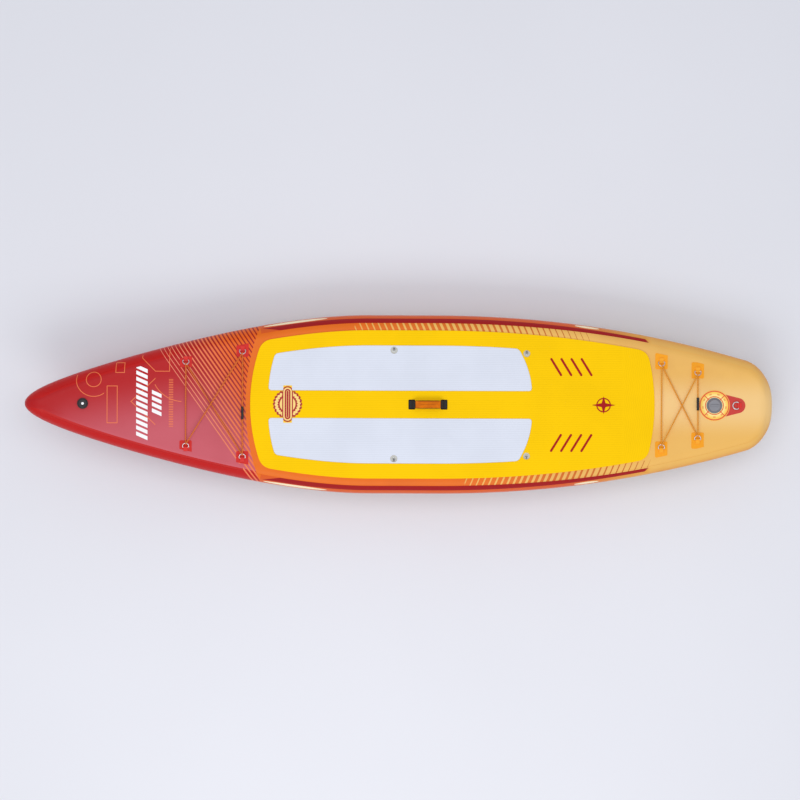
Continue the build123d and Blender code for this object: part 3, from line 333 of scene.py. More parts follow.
class Tone(Enum):
    """Colours of the board's fabrics and prints; the nose deck's pink is partly painted sheen."""

    DECK_RED = shade(180, 22, 26)
    RAIL_RED = shade(190, 22, 20)
    # Pink of the nose deck: partly printed halftone, partly painted sheen of the light from port.
    HALFTONE_PINK = shade(206, 104, 116)
    DARK_RED = shade(148, 20, 22)
    STRIPE_RED = shade(160, 16, 18)
    LINE_PEACH = shade(240, 130, 74)
    LINE_ORANGE = shade(234, 104, 22)
    BORDER_ORANGE = shade(232, 112, 24)
    RAIL_ORANGE = shade(220, 92, 30)
    TAN = shade(236, 184, 96)
    TAN_LIGHT = shade(246, 208, 144)
    CREAM = shade(252, 236, 196)
    YELLOW = shade(255, 205, 0)
    PANEL_WHITE = shade(222, 227, 238)
    PRINT_WHITE = shade(250, 250, 250)
    MARK_RED = shade(172, 30, 32)
    PATCH_RED = shade(212, 42, 36)
    PATCH_ORANGE = shade(250, 164, 24)
    TEARDROP = shade(206, 66, 58)
    GRIP_ORANGE = shade(240, 128, 0)
    CORD_ORANGE = shade(214, 104, 24)
    CORD_DARK = shade(96, 22, 18)
    BLACK = shade(24, 20, 23)
    GREY = shade(118, 118, 124)
    BOTTOM = shade(240, 226, 196)
    HATCH_BROWN = shade(190, 112, 44)
    RAIL_TAN = shade(230, 160, 60)
    LINE_PINK = shade(236, 142, 112)
    RIM_ORANGE = shade(238, 152, 44)
    ROUNDEL_CREAM = shade(250, 214, 128)
    LABEL_PALE = shade(255, 236, 150)
    LABEL_AMBER = shade(250, 196, 60)
    LABEL_DASH = shade(230, 120, 40)
    LABEL_LINE = shade(226, 78, 34)
    THREAD = shade(60, 34, 24)
    FIN_BLACK = shade(28, 26, 30)


# ---------------------------------------------------------------- the board's curves
@dataclass(frozen=True)
class BoardCurves:
    """Outline, rocker and cross-section of the board, as functions of x."""

    length: float = 3.505
    width: float = 0.845
    thickness: float = 0.150
    reach: float = 0.072
    band: float = 0.001
    taper: float = 1.600
    nose_factors: tuple[float, ...] = (0.627, 1.019, 0.081, -0.727)
    tail_half: float = 0.1755
    tail_power: float = 2.1
    tail_corner: float = 0.120
    nose_cap: float = 0.100
    tail_cap: float = 0.075
    nose_tip: float = 0.0012
    tail_tip: float = 0.0016

    def half_width(self, x: np.ndarray) -> np.ndarray:
        """Half outline: a quartic under a root at the nose, a power curve with a round corner at the tail.

        Args:
            x: Places along the board.

        Returns:
            Half widths.
        """
        nose_run = np.clip(self.length / 2 - x, 0, self.taper) / self.taper
        squared = sum(f * nose_run ** (k + 1) for k, f in enumerate(self.nose_factors))
        nose = self.width / 2 * np.sqrt(np.clip(squared, 0, None))
        run = np.clip(self.length / 2 + x, 0, None)
        share = np.clip((self.taper - run) / self.taper, 0, None)
        tail = self.width / 2 - (self.width / 2 - self.tail_half) * share**self.tail_power
        corner = np.clip(1 - run / self.tail_corner, 0, 1)
        tail = tail * np.clip(1 - corner**2, 0, None) ** 0.4
        return np.where(x > 0, nose, tail)

    def rise(self, x: np.ndarray) -> np.ndarray:
        """Rocker: power curves that lift the nose and the tail.

        Args:
            x: Places along the board.

        Returns:
            Height of the bottom above the flat.
        """
        nose = np.clip(x - self.length / 2 + 1.5, 0, None) / 1.5
        tail = np.clip(0.7 - self.length / 2 - x, 0, None) / 0.7
        return 0.165 * nose**2.3 + 0.030 * tail**2

    def half_thickness(self, x: np.ndarray) -> np.ndarray:
        """Half thickness, closing as an ellipse over both caps.

        Args:
            x: Places along the board.

        Returns:
            Half thicknesses.
        """
        ahead, behind = (self.length / 2 - x) / self.nose_cap, (self.length / 2 + x) / self.tail_cap
        share = np.clip(np.minimum(ahead, behind), 0, 1)
        return self.thickness / 2 * np.sqrt(1 - (1 - share) ** 2)

    def rail_reach(self, x: np.ndarray) -> np.ndarray:
        """Width of the round rail across Y, wider where the outline runs at a slant.

        Args:
            x: Places along the board.

        Returns:
            Widths of the rail.
        """
        slant = (self.half_width(x + 0.005) - self.half_width(x - 0.005)) / 0.010
        return np.minimum(self.reach * np.hypot(1, slant), self.half_width(x) - 0.004)

    def flat_half(self, x: np.ndarray) -> np.ndarray:
        """Half width of the flat part of the deck at x."""
        return self.half_width(x) - self.band - self.rail_reach(x)

    def deck(self, x: np.ndarray) -> np.ndarray:
        """Height of the deck's face at x."""
        return self.thickness + self.rise(x)

    def between_caps(self, count: int) -> np.ndarray:
        """Evenly spaced places from the tail cap to the nose cap."""
        return np.linspace(self.tail_cap - self.length / 2, self.length / 2 - self.nose_cap, count)


CURVES = BoardCurves()


# ---------------------------------------------------------------- mesh kit
def to_object(name: str, points: np.ndarray, faces: Sequence[Sequence[int]],
              stored: Optional[dict[str, np.ndarray]] = None, merge: float = 0.0) -> bpy.types.Object:
    """Put arrays into a mesh object.

    Args:
        name: The piece's name.
        points: Vertices, one row each.
        faces: Vertex numbers of each face.
        stored: Numbers per vertex, by attribute name.
        merge: Vertices nearer than this are merged.

    Returns:
        The linked object, smooth shaded.
    """
    mesh = bpy.data.meshes.new(name)
    mesh.from_pydata(points.reshape(-1, 3).tolist(), [], [list(f) for f in faces])
    for key, values in (stored or {}).items():
        layer = mesh.attributes.new(key, "FLOAT", "POINT")
        layer.data.foreach_set("value", values.ravel().astype(np.float32))
    if merge > 0:
        shape = bmesh.new()
        shape.from_mesh(mesh)
        bmesh.ops.remove_doubles(shape, verts=shape.verts, dist=merge)
        bmesh.ops.dissolve_degenerate(shape, edges=shape.edges, dist=merge)
        shape.to_mesh(mesh)
        shape.free()
    mesh.polygons.foreach_set("use_smooth", np.ones(len(mesh.polygons), bool))
    obj = bpy.data.objects.new(name, mesh)
    bpy.context.scene.collection.objects.link(obj)
    return obj


def grid_faces(
    rows: int, columns: int, closed: bool = False, keep: Optional[np.ndarray] = None
) -> np.ndarray:
    """Quads of a grid whose vertices run along its columns first.

    Args:
        rows: Number of rows.
        columns: Number of columns.
        closed: True where the last column joins the first.
        keep: Mask of the quads to keep.

    Returns:
        Vertex numbers, four a face.
    """
    i, j = np.meshgrid(np.arange(rows - 1), np.arange(columns if closed else columns - 1), indexing="ij")
    after = (j + 1) % columns
    near, far = i * columns, (i + 1) * columns
    quads = np.stack([near + j, far + j, far + after, near + after], -1)
    return quads[keep] if keep is not None else quads.reshape(-1, 4)


def outwards(obj: bpy.types.Object) -> bpy.types.Object:
    """Turn a closed piece's faces outwards and hand it back."""
    shape = bmesh.new()
    shape.from_mesh(obj.data)
    bmesh.ops.recalc_face_normals(shape, faces=shape.faces)
    shape.to_mesh(obj.data)
    shape.free()
    return obj


def facing(obj: bpy.types.Object, direction: Sequence[float]) -> bpy.types.Object:
    """Turn an open sheet over unless its faces look along a direction.

    Args:
        obj: The sheet.
        direction: Where its faces look.

    Returns:
        The same object.
    """
    normals = np.zeros(len(obj.data.polygons) * 3)
    obj.data.polygons.foreach_get("normal", normals)
    if (normals.reshape(-1, 3) @ np.array(direction)).sum() < 0:
        obj.data.flip_normals()
    return obj


def settled(obj: bpy.types.Object, crease: float = 35.0) -> bpy.types.Object:
    """Apply a piece's modifiers and keep its edges crisp.

    Args:
        obj: The piece.
        crease: Edges that turn by more degrees than this are shaded sharp.

    Returns:
        The same object with a plain mesh.
    """
    mesh = bpy.data.meshes.new_from_object(obj.evaluated_get(bpy.context.evaluated_depsgraph_get()))
    obj.modifiers.clear()
    obj.data = mesh
    mesh.set_sharp_from_angle(angle=math.radians(crease))
    return obj


def walled(obj: bpy.types.Object, wall: float) -> bpy.types.Object:
    """Give a sheet a wall on its inner side.

    Args:
        obj: The sheet.
        wall: The wall's thickness.

    Returns:
        The same object, closed.
    """
    solid = obj.modifiers.new("wall", "SOLIDIFY")
    solid.thickness, solid.offset, solid.use_even_offset = wall, -1.0, False
    return settled(obj)


def carried(name: str, path: np.ndarray, profile: np.ndarray, aside: Sequence[float],
            scale: Optional[np.ndarray] = None) -> bpy.types.Object:
    """Carry a closed profile along a path, with closed ends.

    At each point of the path the profile's first axis is the cross product of the path's direction
    and the vector aside, and its second axis is square to both.

    Args:
        name: The piece's name.
        path: Points of the path.
        profile: Two numbers a point, round the profile.
        aside: A direction that the path never takes.
        scale: Size of the profile at each point of the path.

    Returns:
        The closed tube, with a UV map in metres along and round it.
    """
    along = np.gradient(path, axis=0)
    along /= np.linalg.norm(along, axis=1, keepdims=True)
    first = np.cross(along, np.array(aside, float))
    first /= np.linalg.norm(first, axis=1, keepdims=True)
    second = np.cross(first, along)
    size = np.ones(len(path)) if scale is None else scale
    offsets = profile[None, :, 0, None] * first[:, None] + profile[None, :, 1, None] * second[:, None]
    points = path[:, None] + offsets * size[:, None, None]
    rows, columns = points.shape[:2]
    quads = grid_faces(rows, columns, True)
    ends = [list(range(columns)), list(range((rows - 1) * columns, rows * columns))[::-1]]
    obj = to_object(name, points, [*quads.tolist(), *ends])
    run = np.concatenate([[0], np.cumsum(np.linalg.norm(np.diff(path, axis=0), axis=1))])
    ring = np.vstack([profile, profile[:1]])
    turn = np.concatenate([[0], np.cumsum(np.linalg.norm(np.diff(ring, axis=0), axis=1))])
    i, j = np.meshgrid(np.arange(rows - 1), np.arange(columns), indexing="ij")
    ends = [run[i], turn[j], run[i + 1], turn[j], run[i + 1], turn[j + 1], run[i], turn[j + 1]]
    corners = np.stack(ends, -1)
    flat = np.zeros(len(obj.data.loops) * 2)
    flat[: corners.size] = corners.ravel()
    obj.data.uv_layers.new(name="run").data.foreach_set("uv", flat)
    return outwards(obj)


def round_profile(radius: float, count: int = 14) -> np.ndarray:
    """Circle of a radius, as points."""
    turn = np.linspace(0, 2 * math.pi, count, endpoint=False)
    return radius * np.stack([np.cos(turn), np.sin(turn)], -1)


def box_profile(width: float, height: float, power: float = 5.0, count: int = 40) -> np.ndarray:
    """Superellipse: each axis is its cosine or sine raised to 2 / power, with its sign kept.

    Args:
        width: Size on the first axis.
        height: Size on the second axis.
        power: Larger is squarer.
        count: Number of points.

    Returns:
        Points round the profile.
    """
    turn = np.linspace(0, 2 * math.pi, count, endpoint=False)
    c, s = np.cos(turn), np.sin(turn)
    first = np.sign(c) * np.abs(c) ** (2 / power) * width / 2
    second = np.sign(s) * np.abs(s) ** (2 / power) * height / 2
    return np.stack([first, second], -1)


def place_piece(obj: bpy.types.Object, material: bpy.types.Material, body: Optional[str] = "hull",
                nodes: Sequence[str] = ()) -> bpy.types.Object:
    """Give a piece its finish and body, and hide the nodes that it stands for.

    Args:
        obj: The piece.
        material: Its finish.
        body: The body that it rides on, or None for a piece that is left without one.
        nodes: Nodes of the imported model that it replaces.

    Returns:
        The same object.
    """
    obj.data.materials.clear()
    obj.data.materials.append(material)
    if nodes:
        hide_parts(*nodes)
    if body:
        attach(obj, body)
    LOG.info("%s: %d faces, finish %s", obj.name, len(obj.data.polygons), material.name)
    return obj


def dress_nodes(material: bpy.types.Material, *nodes: str) -> None:
    """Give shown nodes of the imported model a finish.

    Args:
        material: The finish.
        nodes: Node names.
    """
    for name in nodes:
        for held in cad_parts[name].material_slots:
            held.material = material
        LOG.info("%s keeps its shape, finish %s", name, material.name)


# ---------------------------------------------------------------- plain finishes
@dataclass(frozen=True)
class CoatedFabric:
    """PVC-coated fabric: the base weave shows through a semi-gloss coat."""

    name: str
    colour: Colour
    pitch: float = 0.0022
    gloss: float = 0.42

    def make(self) -> bpy.types.Material:
        """Weave as a product of two sines, mottled by noise; returns the material."""
        recipe = Recipe(self.name)
        x, y, _ = recipe.place()
        weave = weave_of(x, y, self.pitch)
        cloud = recipe.noise(9.0)
        dark = tuple(c * 0.86 for c in self.colour)
        colour = recipe.mix((cloud * 0.8 + weave * 0.2).rising(0.15, 0.6), dark, self.colour)
        rough = recipe.noise(60.0) * 0.12 + (self.gloss - 0.06)
        return recipe.paint(colour, rough, weave, 0.00025, Specular_IOR_Level=0.2)


@dataclass(frozen=True)
class Webbing:
    """Woven nylon webbing with ribs across it."""

    name: str
    colour: Colour
    rib: float = 0.0018

    def make(self) -> bpy.types.Material:
        """Ribs along X and picks along Y, lighter on the raised ribs as a painted highlight; returns the
        material.
        """
        recipe = Recipe(self.name)
        x, y, z = recipe.place()
        turn = 2 * math.pi / self.rib
        ribs = ((x * turn).sine() * ((y + z) * (turn * 0.6)).sine()) * 0.5 + 0.5
        # Lighter colour on the raised ribs: painted highlight.
        light = tuple(min(1.0, c * 1.3 + 0.006) for c in self.colour)
        colour = recipe.mix(ribs * 0.6, self.colour, light)
        return recipe.paint(colour, recipe.noise(300.0) * 0.2 + 0.62, ribs, 0.0004)


@dataclass(frozen=True)
class Moulded:
    """Moulded plastic or rubber with a fine spark-eroded grain and scattered scuffs."""

    name: str
    colour: Colour
    gloss: float = 0.45

    def make(self) -> bpy.types.Material:
        """Fine grain by noise, with faint scuffs; returns the material."""
        recipe = Recipe(self.name)
        grain, scuff = recipe.noise(900.0, 2.0), recipe.noise(35.0, 5.0, (1, 4, 1))
        worn = tuple(c * 0.8 + 0.03 for c in self.colour)
        colour = recipe.mix(scuff.rising(0.58, 0.78) * 0.6, self.colour, worn)
        return recipe.paint(colour, grain * 0.15 + (self.gloss - 0.05) + scuff * 0.08, grain, 0.00012)


@dataclass(frozen=True)
class Metal:
    """Polished metal with fine draw lines."""

    name: str
    colour: Colour
    gloss: float = 0.22

    def make(self) -> bpy.types.Material:
        """Draw lines by stretched noise; returns the material."""
        recipe = Recipe(self.name)
        lines = recipe.noise(400.0, 2.0, (1, 8, 8))
        dull = tuple(c * 0.7 for c in self.colour)
        colour = recipe.mix(recipe.noise(60.0).rising(0.4, 0.8), self.colour, dull)
        return recipe.paint(colour, lines * 0.14 + self.gloss, lines, 0.00005, Metallic=1.0)


@dataclass(frozen=True)
class Braid:
    """Braided elastic cord: two sets of strands cross round the core, one set flecked dark."""

    name: str
    colour: Colour
    fleck: Colour

    def make(self) -> bpy.types.Material:
        """Strands as sines of run plus and minus turn on the cord's own UV map; returns the material."""
        recipe = Recipe(self.name)
        spot = recipe.node("ShaderNodeUVMap", {"uv_map": "run"}, {})
        run, turn = (recipe.node("ShaderNodeSeparateXYZ", {}, {0: spot}, axis) for axis in (0, 1))
        right = ((run * 700.0 + turn * 1000.0).sine()) * 0.5 + 0.5
        left = ((run * 700.0 - turn * 1000.0).sine()) * 0.5 + 0.5
        flecks = right.rising(0.55, 0.8) * ((run * 120.0).share() < 0.4)
        return recipe.paint(recipe.mix(flecks * 0.5, self.colour, self.fleck), 0.6, right | left, 0.0005)


@dataclass(frozen=True)
class Foam:
    """Closed-cell EVA foam, brushed and grooved along the board, with a waved zone at the tail."""

    name: str
    colour: Colour
    groove: float = 0.0085
    depth: float = 0.0004
    wave_from: Optional[float] = None

    def make(self) -> bpy.types.Material:
        """Grooves across Y, which swing in arcs aft of wave_from, darkened towards their bottoms as painted
        shade; pores by fine noise.

        Returns:
            The material.
        """
        recipe = Recipe(self.name)
        x, y, _ = recipe.place()
        turn = 2 * math.pi / self.groove
        straight = (y * turn).sine()
        height = straight
        if self.wave_from is not None:
            waves = ((x * turn) + (abs(y) * 55.0).sine() * 3.0).sine()
            zone = (x * -1.0).rising(-self.wave_from, -self.wave_from + 0.03)
            height = straight * (1 - zone) + waves * zone
        ribs = height.rising(-0.9, -0.2)
        pores, cloud = recipe.noise(1500.0, 2.0), recipe.noise(5.0, 4.0)
        # Colour darkens towards the bottom of each groove: painted shade in the grooves, mixed with random
        # cloudy tone.
        groove_shade = tuple(c * 0.90 for c in self.colour)
        colour = recipe.mix(ribs * 0.6 + cloud.rising(0.3, 0.7) * 0.4, groove_shade, self.colour)
        relief = ribs * 0.8 + pores * 0.2
        return recipe.paint(colour, pores * 0.15 + 0.75, relief, self.depth, Specular_IOR_Level=0.12)


# ---------------------------------------------------------------- printed finishes
class Side(Enum):
    """A side of the board and its sign along Y."""

    PORT = 1
    STARBOARD = -1


@dataclass(frozen=True)
class HullPrintAndSheen:
    """Print and weave of the hull, with painted sheen on the nose deck: red nose with outlines, pinstripes,
    striped rails and a tan tail.

    It reads two numbers from the mesh: "angle", degrees up the rail from its middle, which goes on
    past 90 over the deck, and Object coordinates for the rest.
    """

    name: str
    gloss: float = 0.38
    weave_pitch: float = 0.0026
    line_half: float = 0.0016
    deck_angle: float = 88.0
    upper_angle: float = 80.0
    nose_edge_angle: float = 72.0
    line_angle: float = 34.0
    under_angle: float = -62.0
    pinstripe_pitch: float = 0.0168
    block_pitch: float = 0.0285
    block_share: float = 0.62
    hatch_pitch: float = 0.0290
    border_centre: float = -0.307
    border_radius: float = 1.0385
    tail_from: float = -1.10
    rim_from: float = -1.16

    def nose(self, recipe: Recipe, x: Signal, y: Signal, angle: Signal) -> Signal:
        """Red that turns to pink to port and aft: a printed halftone of dots together with painted sheen from
        the light on the port side.

        Args:
            recipe: The material.
            x: Place along the board.
            y: Place across it.
            angle: Degrees up the rail.

        Returns:
            The colour.
        """
        # The pink to port is printed halftone dots together with painted sheen of the light from port; the
        # rail below the nose edge stays red.
        halftone_and_sheen_tide = (y + (x * -0.22) + 0.27).rising(-0.14, 0.17)
        spread = (1.68 - x).rising(0.0, 0.14)
        dots = ((x + y) * 700.0).sine() * ((x - y) * 700.0).sine() * 0.5 + 0.5
        share = halftone_and_sheen_tide * spread * 0.85 * (angle > self.nose_edge_angle)
        halftone_and_sheen = recipe.mix(share * (dots * 0.3 + 0.75), Tone.DECK_RED.value, Tone.HALFTONE_PINK.value)
        return recipe.mix(angle < self.nose_edge_angle, halftone_and_sheen, Tone.RAIL_RED.value)

    def outline(self, away: Signal) -> Signal:
        """Mask of a line where a signed distance from a shape's edge is nought."""
        return abs(away) < self.line_half

    def oval(self, u: Signal, v: Signal, half_u: float, half_v: float) -> Signal:
        """Height of a dome over an ellipse: one less the squares of both offsets in half axes.

        Args:
            u: Offset from its centre along the board.
            v: Offset across it.
            half_u: Half its length.
            half_v: Half its width.

        Returns:
            Above 0 inside the ellipse.
        """
        return 1 - (u / half_u).squared() - (v / half_v).squared()

    def box(self, u: Signal, v: Signal, length: float, width: float) -> Signal:
        """Distance from a rectangle's edge: the larger of the two overshoots.

        Args:
            u: Offset from its centre along the board.
            v: Offset across it.
            length: Full length.
            width: Full width.

        Returns:
            Signed distance, negative inside.
        """
        return (abs(u) - length / 2) | (abs(v) - width / 2)

    def linework(self, x: Signal, y: Signal) -> Signal:
        """Fine outlines on the nose: rings, frames, a wedge and a chevron.

        Args:
            x: Place along the board.
            y: Place across it.

        Returns:
            The mask of the lines.
        """
        ring_far = distance(x - 1.432, y + 0.112)
        lines = self.outline(ring_far - 0.034)
        lines = lines | (self.outline(ring_far - 0.079) * ((y > -0.155) & (x > 1.385)))
        lines = lines | self.outline(self.box(x - 1.348, y - 0.004, 0.046, 0.172))
        lines = lines | self.outline(self.box(x - 1.312, y + 0.168, 0.040, 0.046))
        slope = (x - 1.150) * 0.71 + (y + 0.200) * 0.71 - 0.034
        wedge = slope | (y + 0.152) | (1.085 - x) | (x - 1.212)
        lines = lines | (self.outline(wedge) * (y > -0.26))
        chevron = abs(y + 0.010) * 0.72 + (x - 1.262) * 0.70
        lines = lines | (self.outline(chevron) * x.within(1.150, 1.290))
        sweep = distance(x - 1.020, y + 0.160) - 0.150
        return lines | (self.outline(sweep) * (y > -0.09) * (x > 1.03))

    def blocks(self, x: Signal, y: Signal) -> Signal:
        """Two rows of plain slanted white bars across the nose.

        Args:
            x: Place along the board.
            y: Place across it.

        Returns:
            The mask of the blocks.
        """
        slant = y + (x - 1.212) * 0.45
        rows = []
        for low, high, back, front in ((-0.172, 0.165, 1.186, 1.238), (-0.085, 0.028, 1.122, 1.166)):
            bars = ((slant - low) / self.block_pitch).share().within(0.0, self.block_share)
            rows.append(bars * slant.within(low, high) * x.within(back, front))
        return rows[0] | rows[1]

    def pinstripes(self, x: Signal, y: Signal) -> tuple[Signal, Signal]:
        """Slanted lines that widen towards the pad and to starboard.

        Args:
            x: Place along the board.
            y: Place across it.

        Returns:
            The mask of the lines, and how strong they are from 0 to 1.
        """
        across = x * 0.819 + y * 0.574
        strength = ((1.06 - x) / 0.36 - y * 1.15).rising(0.0, 1.15)
        saw = abs((across / self.pinstripe_pitch).share() - 0.5) * 2.0
        return (saw < (strength * 0.50 + 0.14)) * (across < 0.790), strength

    def rail(self, recipe: Recipe, x: Signal, y: Signal, angle: Signal) -> Signal:
        """Rail aft of the nose: orange, a dark red stripe, then an orange band hatched towards the tail.

        Args:
            recipe: The material.
            x: Place along the board.
            y: Place across it.
            angle: Degrees up the rail.

        Returns:
            The colour.
        """
        port = y > 0.0
        aft = x * -1.0
        start = port * 0.30 - (1 - port) * 0.22
        end = port * 1.22 + (1 - port) * 0.90
        saw = ((x + angle * 0.00052) / self.hatch_pitch).share()
        fade = ((aft - start) / (end - start)) & 1.0
        thick = 0.84 - fade * 0.78
        hatch = (aft < start) | ((saw < thick) * (aft < end))
        bar = recipe.mix(fade | 0.0, Tone.BORDER_ORANGE.value, Tone.HATCH_BROWN.value)
        band = recipe.mix(hatch, Tone.TAN.value, bar)
        outer = recipe.mix(aft.rising(0.75, 1.15), Tone.RAIL_ORANGE.value, Tone.RAIL_TAN.value)
        lenses = self.oval(x - 0.50, angle - 27.0, 0.15, 9.0) | self.oval(x + 0.877, angle - 27.0, 0.058, 8.0)
        outer = recipe.mix(lenses > 0.0, outer, Tone.CREAM.value)
        low = aft.rising(0.2, 1.2) * 1.5 + 40.0
        high = 62.0 - aft.rising(0.4, 1.25) * 5.0
        tip = (aft + 0.655) * 260.0 + 40.0
        stripe = angle.within(low, high & tip) * (aft < (1.16 + (angle - 50.0) * 0.0012))
        colour = recipe.mix(angle > high, outer, band)
        return recipe.mix(stripe, colour, Tone.STRIPE_RED.value)

    def front(self, recipe: Recipe, x: Signal, y: Signal, angle: Signal) -> Signal:
        """Nose with its outlines, bars, row of dashes and pinstripes, up to the border round the pad.

        Args:
            recipe: The material.
            x: Place along the board.
            y: Place across it.
            angle: Degrees up the rail.

        Returns:
            The colour.
        """
        upper = angle > self.upper_angle
        nose = self.nose(recipe, x, y, angle)
        nose = recipe.mix(self.linework(x, y) * (angle > self.line_angle) * 0.85, nose, Tone.LINE_PEACH.value)
        nose = recipe.mix(self.blocks(x, y) * upper, nose, Tone.PRINT_WHITE.value)
        dashes = x.within(1.068, 1.088) * y.within(-0.120, 0.108) * ((y / 0.0115).share() < 0.6)
        nose = recipe.mix(dashes * upper * 0.55, nose, Tone.LINE_PEACH.value)
        lines, strength = self.pinstripes(x, y)
        line = recipe.mix(strength, Tone.LINE_PINK.value, Tone.LINE_ORANGE.value)
        under = recipe.mix(strength * (1 - y.rising(0.0, 0.25)) * 0.8, nose, Tone.DARK_RED.value)
        reached = (y < 0.0) | (x < 0.742) | (angle > self.deck_angle)
        striped = recipe.mix(lines * (angle > -5.0) * reached, under, line)
        border = (distance(x - self.border_centre, y) < self.border_radius) * (x > 0.55)
        return recipe.mix(border, striped, Tone.BORDER_ORANGE.value)

    def tail(self, recipe: Recipe, x: Signal, y: Signal, angle: Signal, ahead: Signal) -> Signal:
        """Tan tail, paler along its middle, with a warm rim low on the rail, laid over what is ahead of it.

        Args:
            recipe: The material.
            x: Place along the board.
            y: Place across it.
            angle: Degrees up the rail.
            ahead: The colour that the tail is laid over.

        Returns:
            The colour.
        """
        middle = 1 - abs(y).rising(0.02, 0.16)
        tan = recipe.mix(middle * 0.7, Tone.TAN.value, Tone.TAN_LIGHT.value)
        tan = recipe.mix(angle.within(2.0, 24.0) * (x < self.rim_from), tan, Tone.RIM_ORANGE.value)
        flat_part = (x < self.tail_from) * (angle > self.deck_angle)
        round_part = (-1.150 - x).rising(0.0, 0.035) * (angle - 14.0).rising(0.0, 40.0)
        return recipe.mix(flat_part | round_part, ahead, tan)

    def make(self) -> bpy.types.Material:
        """Lay the prints over one another; returns the material."""
        recipe = Recipe(self.name)
        x, y, _ = recipe.place()
        angle = recipe.own("angle")
        rail_start = 0.672 - (angle & 90.0) * 0.0002
        zone = self.front(recipe, x, y, angle)
        zone = recipe.mix(x < rail_start, zone, self.rail(recipe, x, y, angle))
        zone = self.tail(recipe, x, y, angle, zone)
        under_nose = recipe.mix((x - 0.55).rising(0.0, 0.5), Tone.BOTTOM.value, Tone.RAIL_RED.value)
        chevrons = (abs(y) * 14.0 + x * 3.0).share().within(0.0, 0.12) * (angle < -self.deck_angle)
        below = recipe.mix(chevrons, under_nose, Tone.RAIL_ORANGE.value)
        colour = recipe.mix(angle < self.under_angle, zone, below)
        weave = weave_of(x, y, self.weave_pitch)
        seam = abs(angle - 91.0).rising(0.0, 1.6)
        cloud = recipe.noise(4.0, 4.0)
        colour = recipe.mix(cloud.rising(0.45, 0.8) * 0.12, colour, Tone.DARK_RED.value)
        rough = recipe.noise(45.0) * 0.10 + (self.gloss - 0.05)
        return recipe.paint(colour, rough, weave * 0.3 + seam * 0.35, 0.0005, Specular_IOR_Level=0.2)


@dataclass(frozen=True)
class RoundelPrint:
    """Printed roundel of the pad: scalloped rim, cream and red rings, and a lined bar across."""

    name: str
    centre: float = 0.534

    def make(self) -> bpy.types.Material:
        """Rings by distance from the centre, the bar by distance from its middle line.

        Returns:
            The material.
        """
        recipe = Recipe(self.name)
        x, y, _ = recipe.place()
        u = x - self.centre
        far = distance(u, y)
        spoke = recipe.node("ShaderNodeMath", {"operation": "ARCTAN2"}, {0: y, 1: u})
        scallop = (spoke * 24.0).sine() * 0.0022
        bar_end = (abs(y) - 0.058) | 0.0
        bar = distance(u, bar_end)
        cream = (far - scallop).within(0.046, 0.0595) | far.within(0.0, 0.037)
        cream = (cream * (bar > 0.0255)) | bar.within(0.0135, 0.0200) | bar.within(0.0042, 0.0062)
        colour = recipe.mix(cream, Tone.MARK_RED.value, Tone.ROUNDEL_CREAM.value)
        colour = recipe.mix((bar > 0.0262) * (abs(y) > 0.0655), colour, Tone.YELLOW.value)
        pores = recipe.noise(1500.0, 2.0)
        return recipe.paint(colour, pores * 0.12 + 0.62, pores, 0.0003)


@dataclass(frozen=True)
class ValvePrint:
    """Printed ring round the valve: two ring lines and four slanted dividers on a warm ground."""

    name: str
    centre: float = -1.472

    def make(self) -> bpy.types.Material:
        """Ring lines by distance, dividers by offset from the two diagonals; returns the material."""
        recipe = Recipe(self.name)
        x, y, _ = recipe.place()
        u = x - self.centre
        far = distance(u, y)
        rings = far.within(0.0645, 0.0700) | far.within(0.0395, 0.0440)
        slants = (abs(u - y) < 0.0028) | (abs(u + y) < 0.0028)
        dashes = (recipe.node("ShaderNodeMath", {"operation": "ARCTAN2"}, {0: y, 1: u}) * 9.0).sine() > 0.55
        marks = far.within(0.051, 0.0575) * dashes
        ground = recipe.mix(far.rising(0.040, 0.066), Tone.LABEL_PALE.value, Tone.LABEL_AMBER.value)
        colour = recipe.mix(marks * 0.7, ground, Tone.LABEL_DASH.value)
        colour = recipe.mix(rings | (slants * (far < 0.068)), colour, Tone.LABEL_LINE.value)
        grain = recipe.noise(400.0)
        return recipe.paint(colour, grain * 0.1 + 0.35, grain, 0.0001)


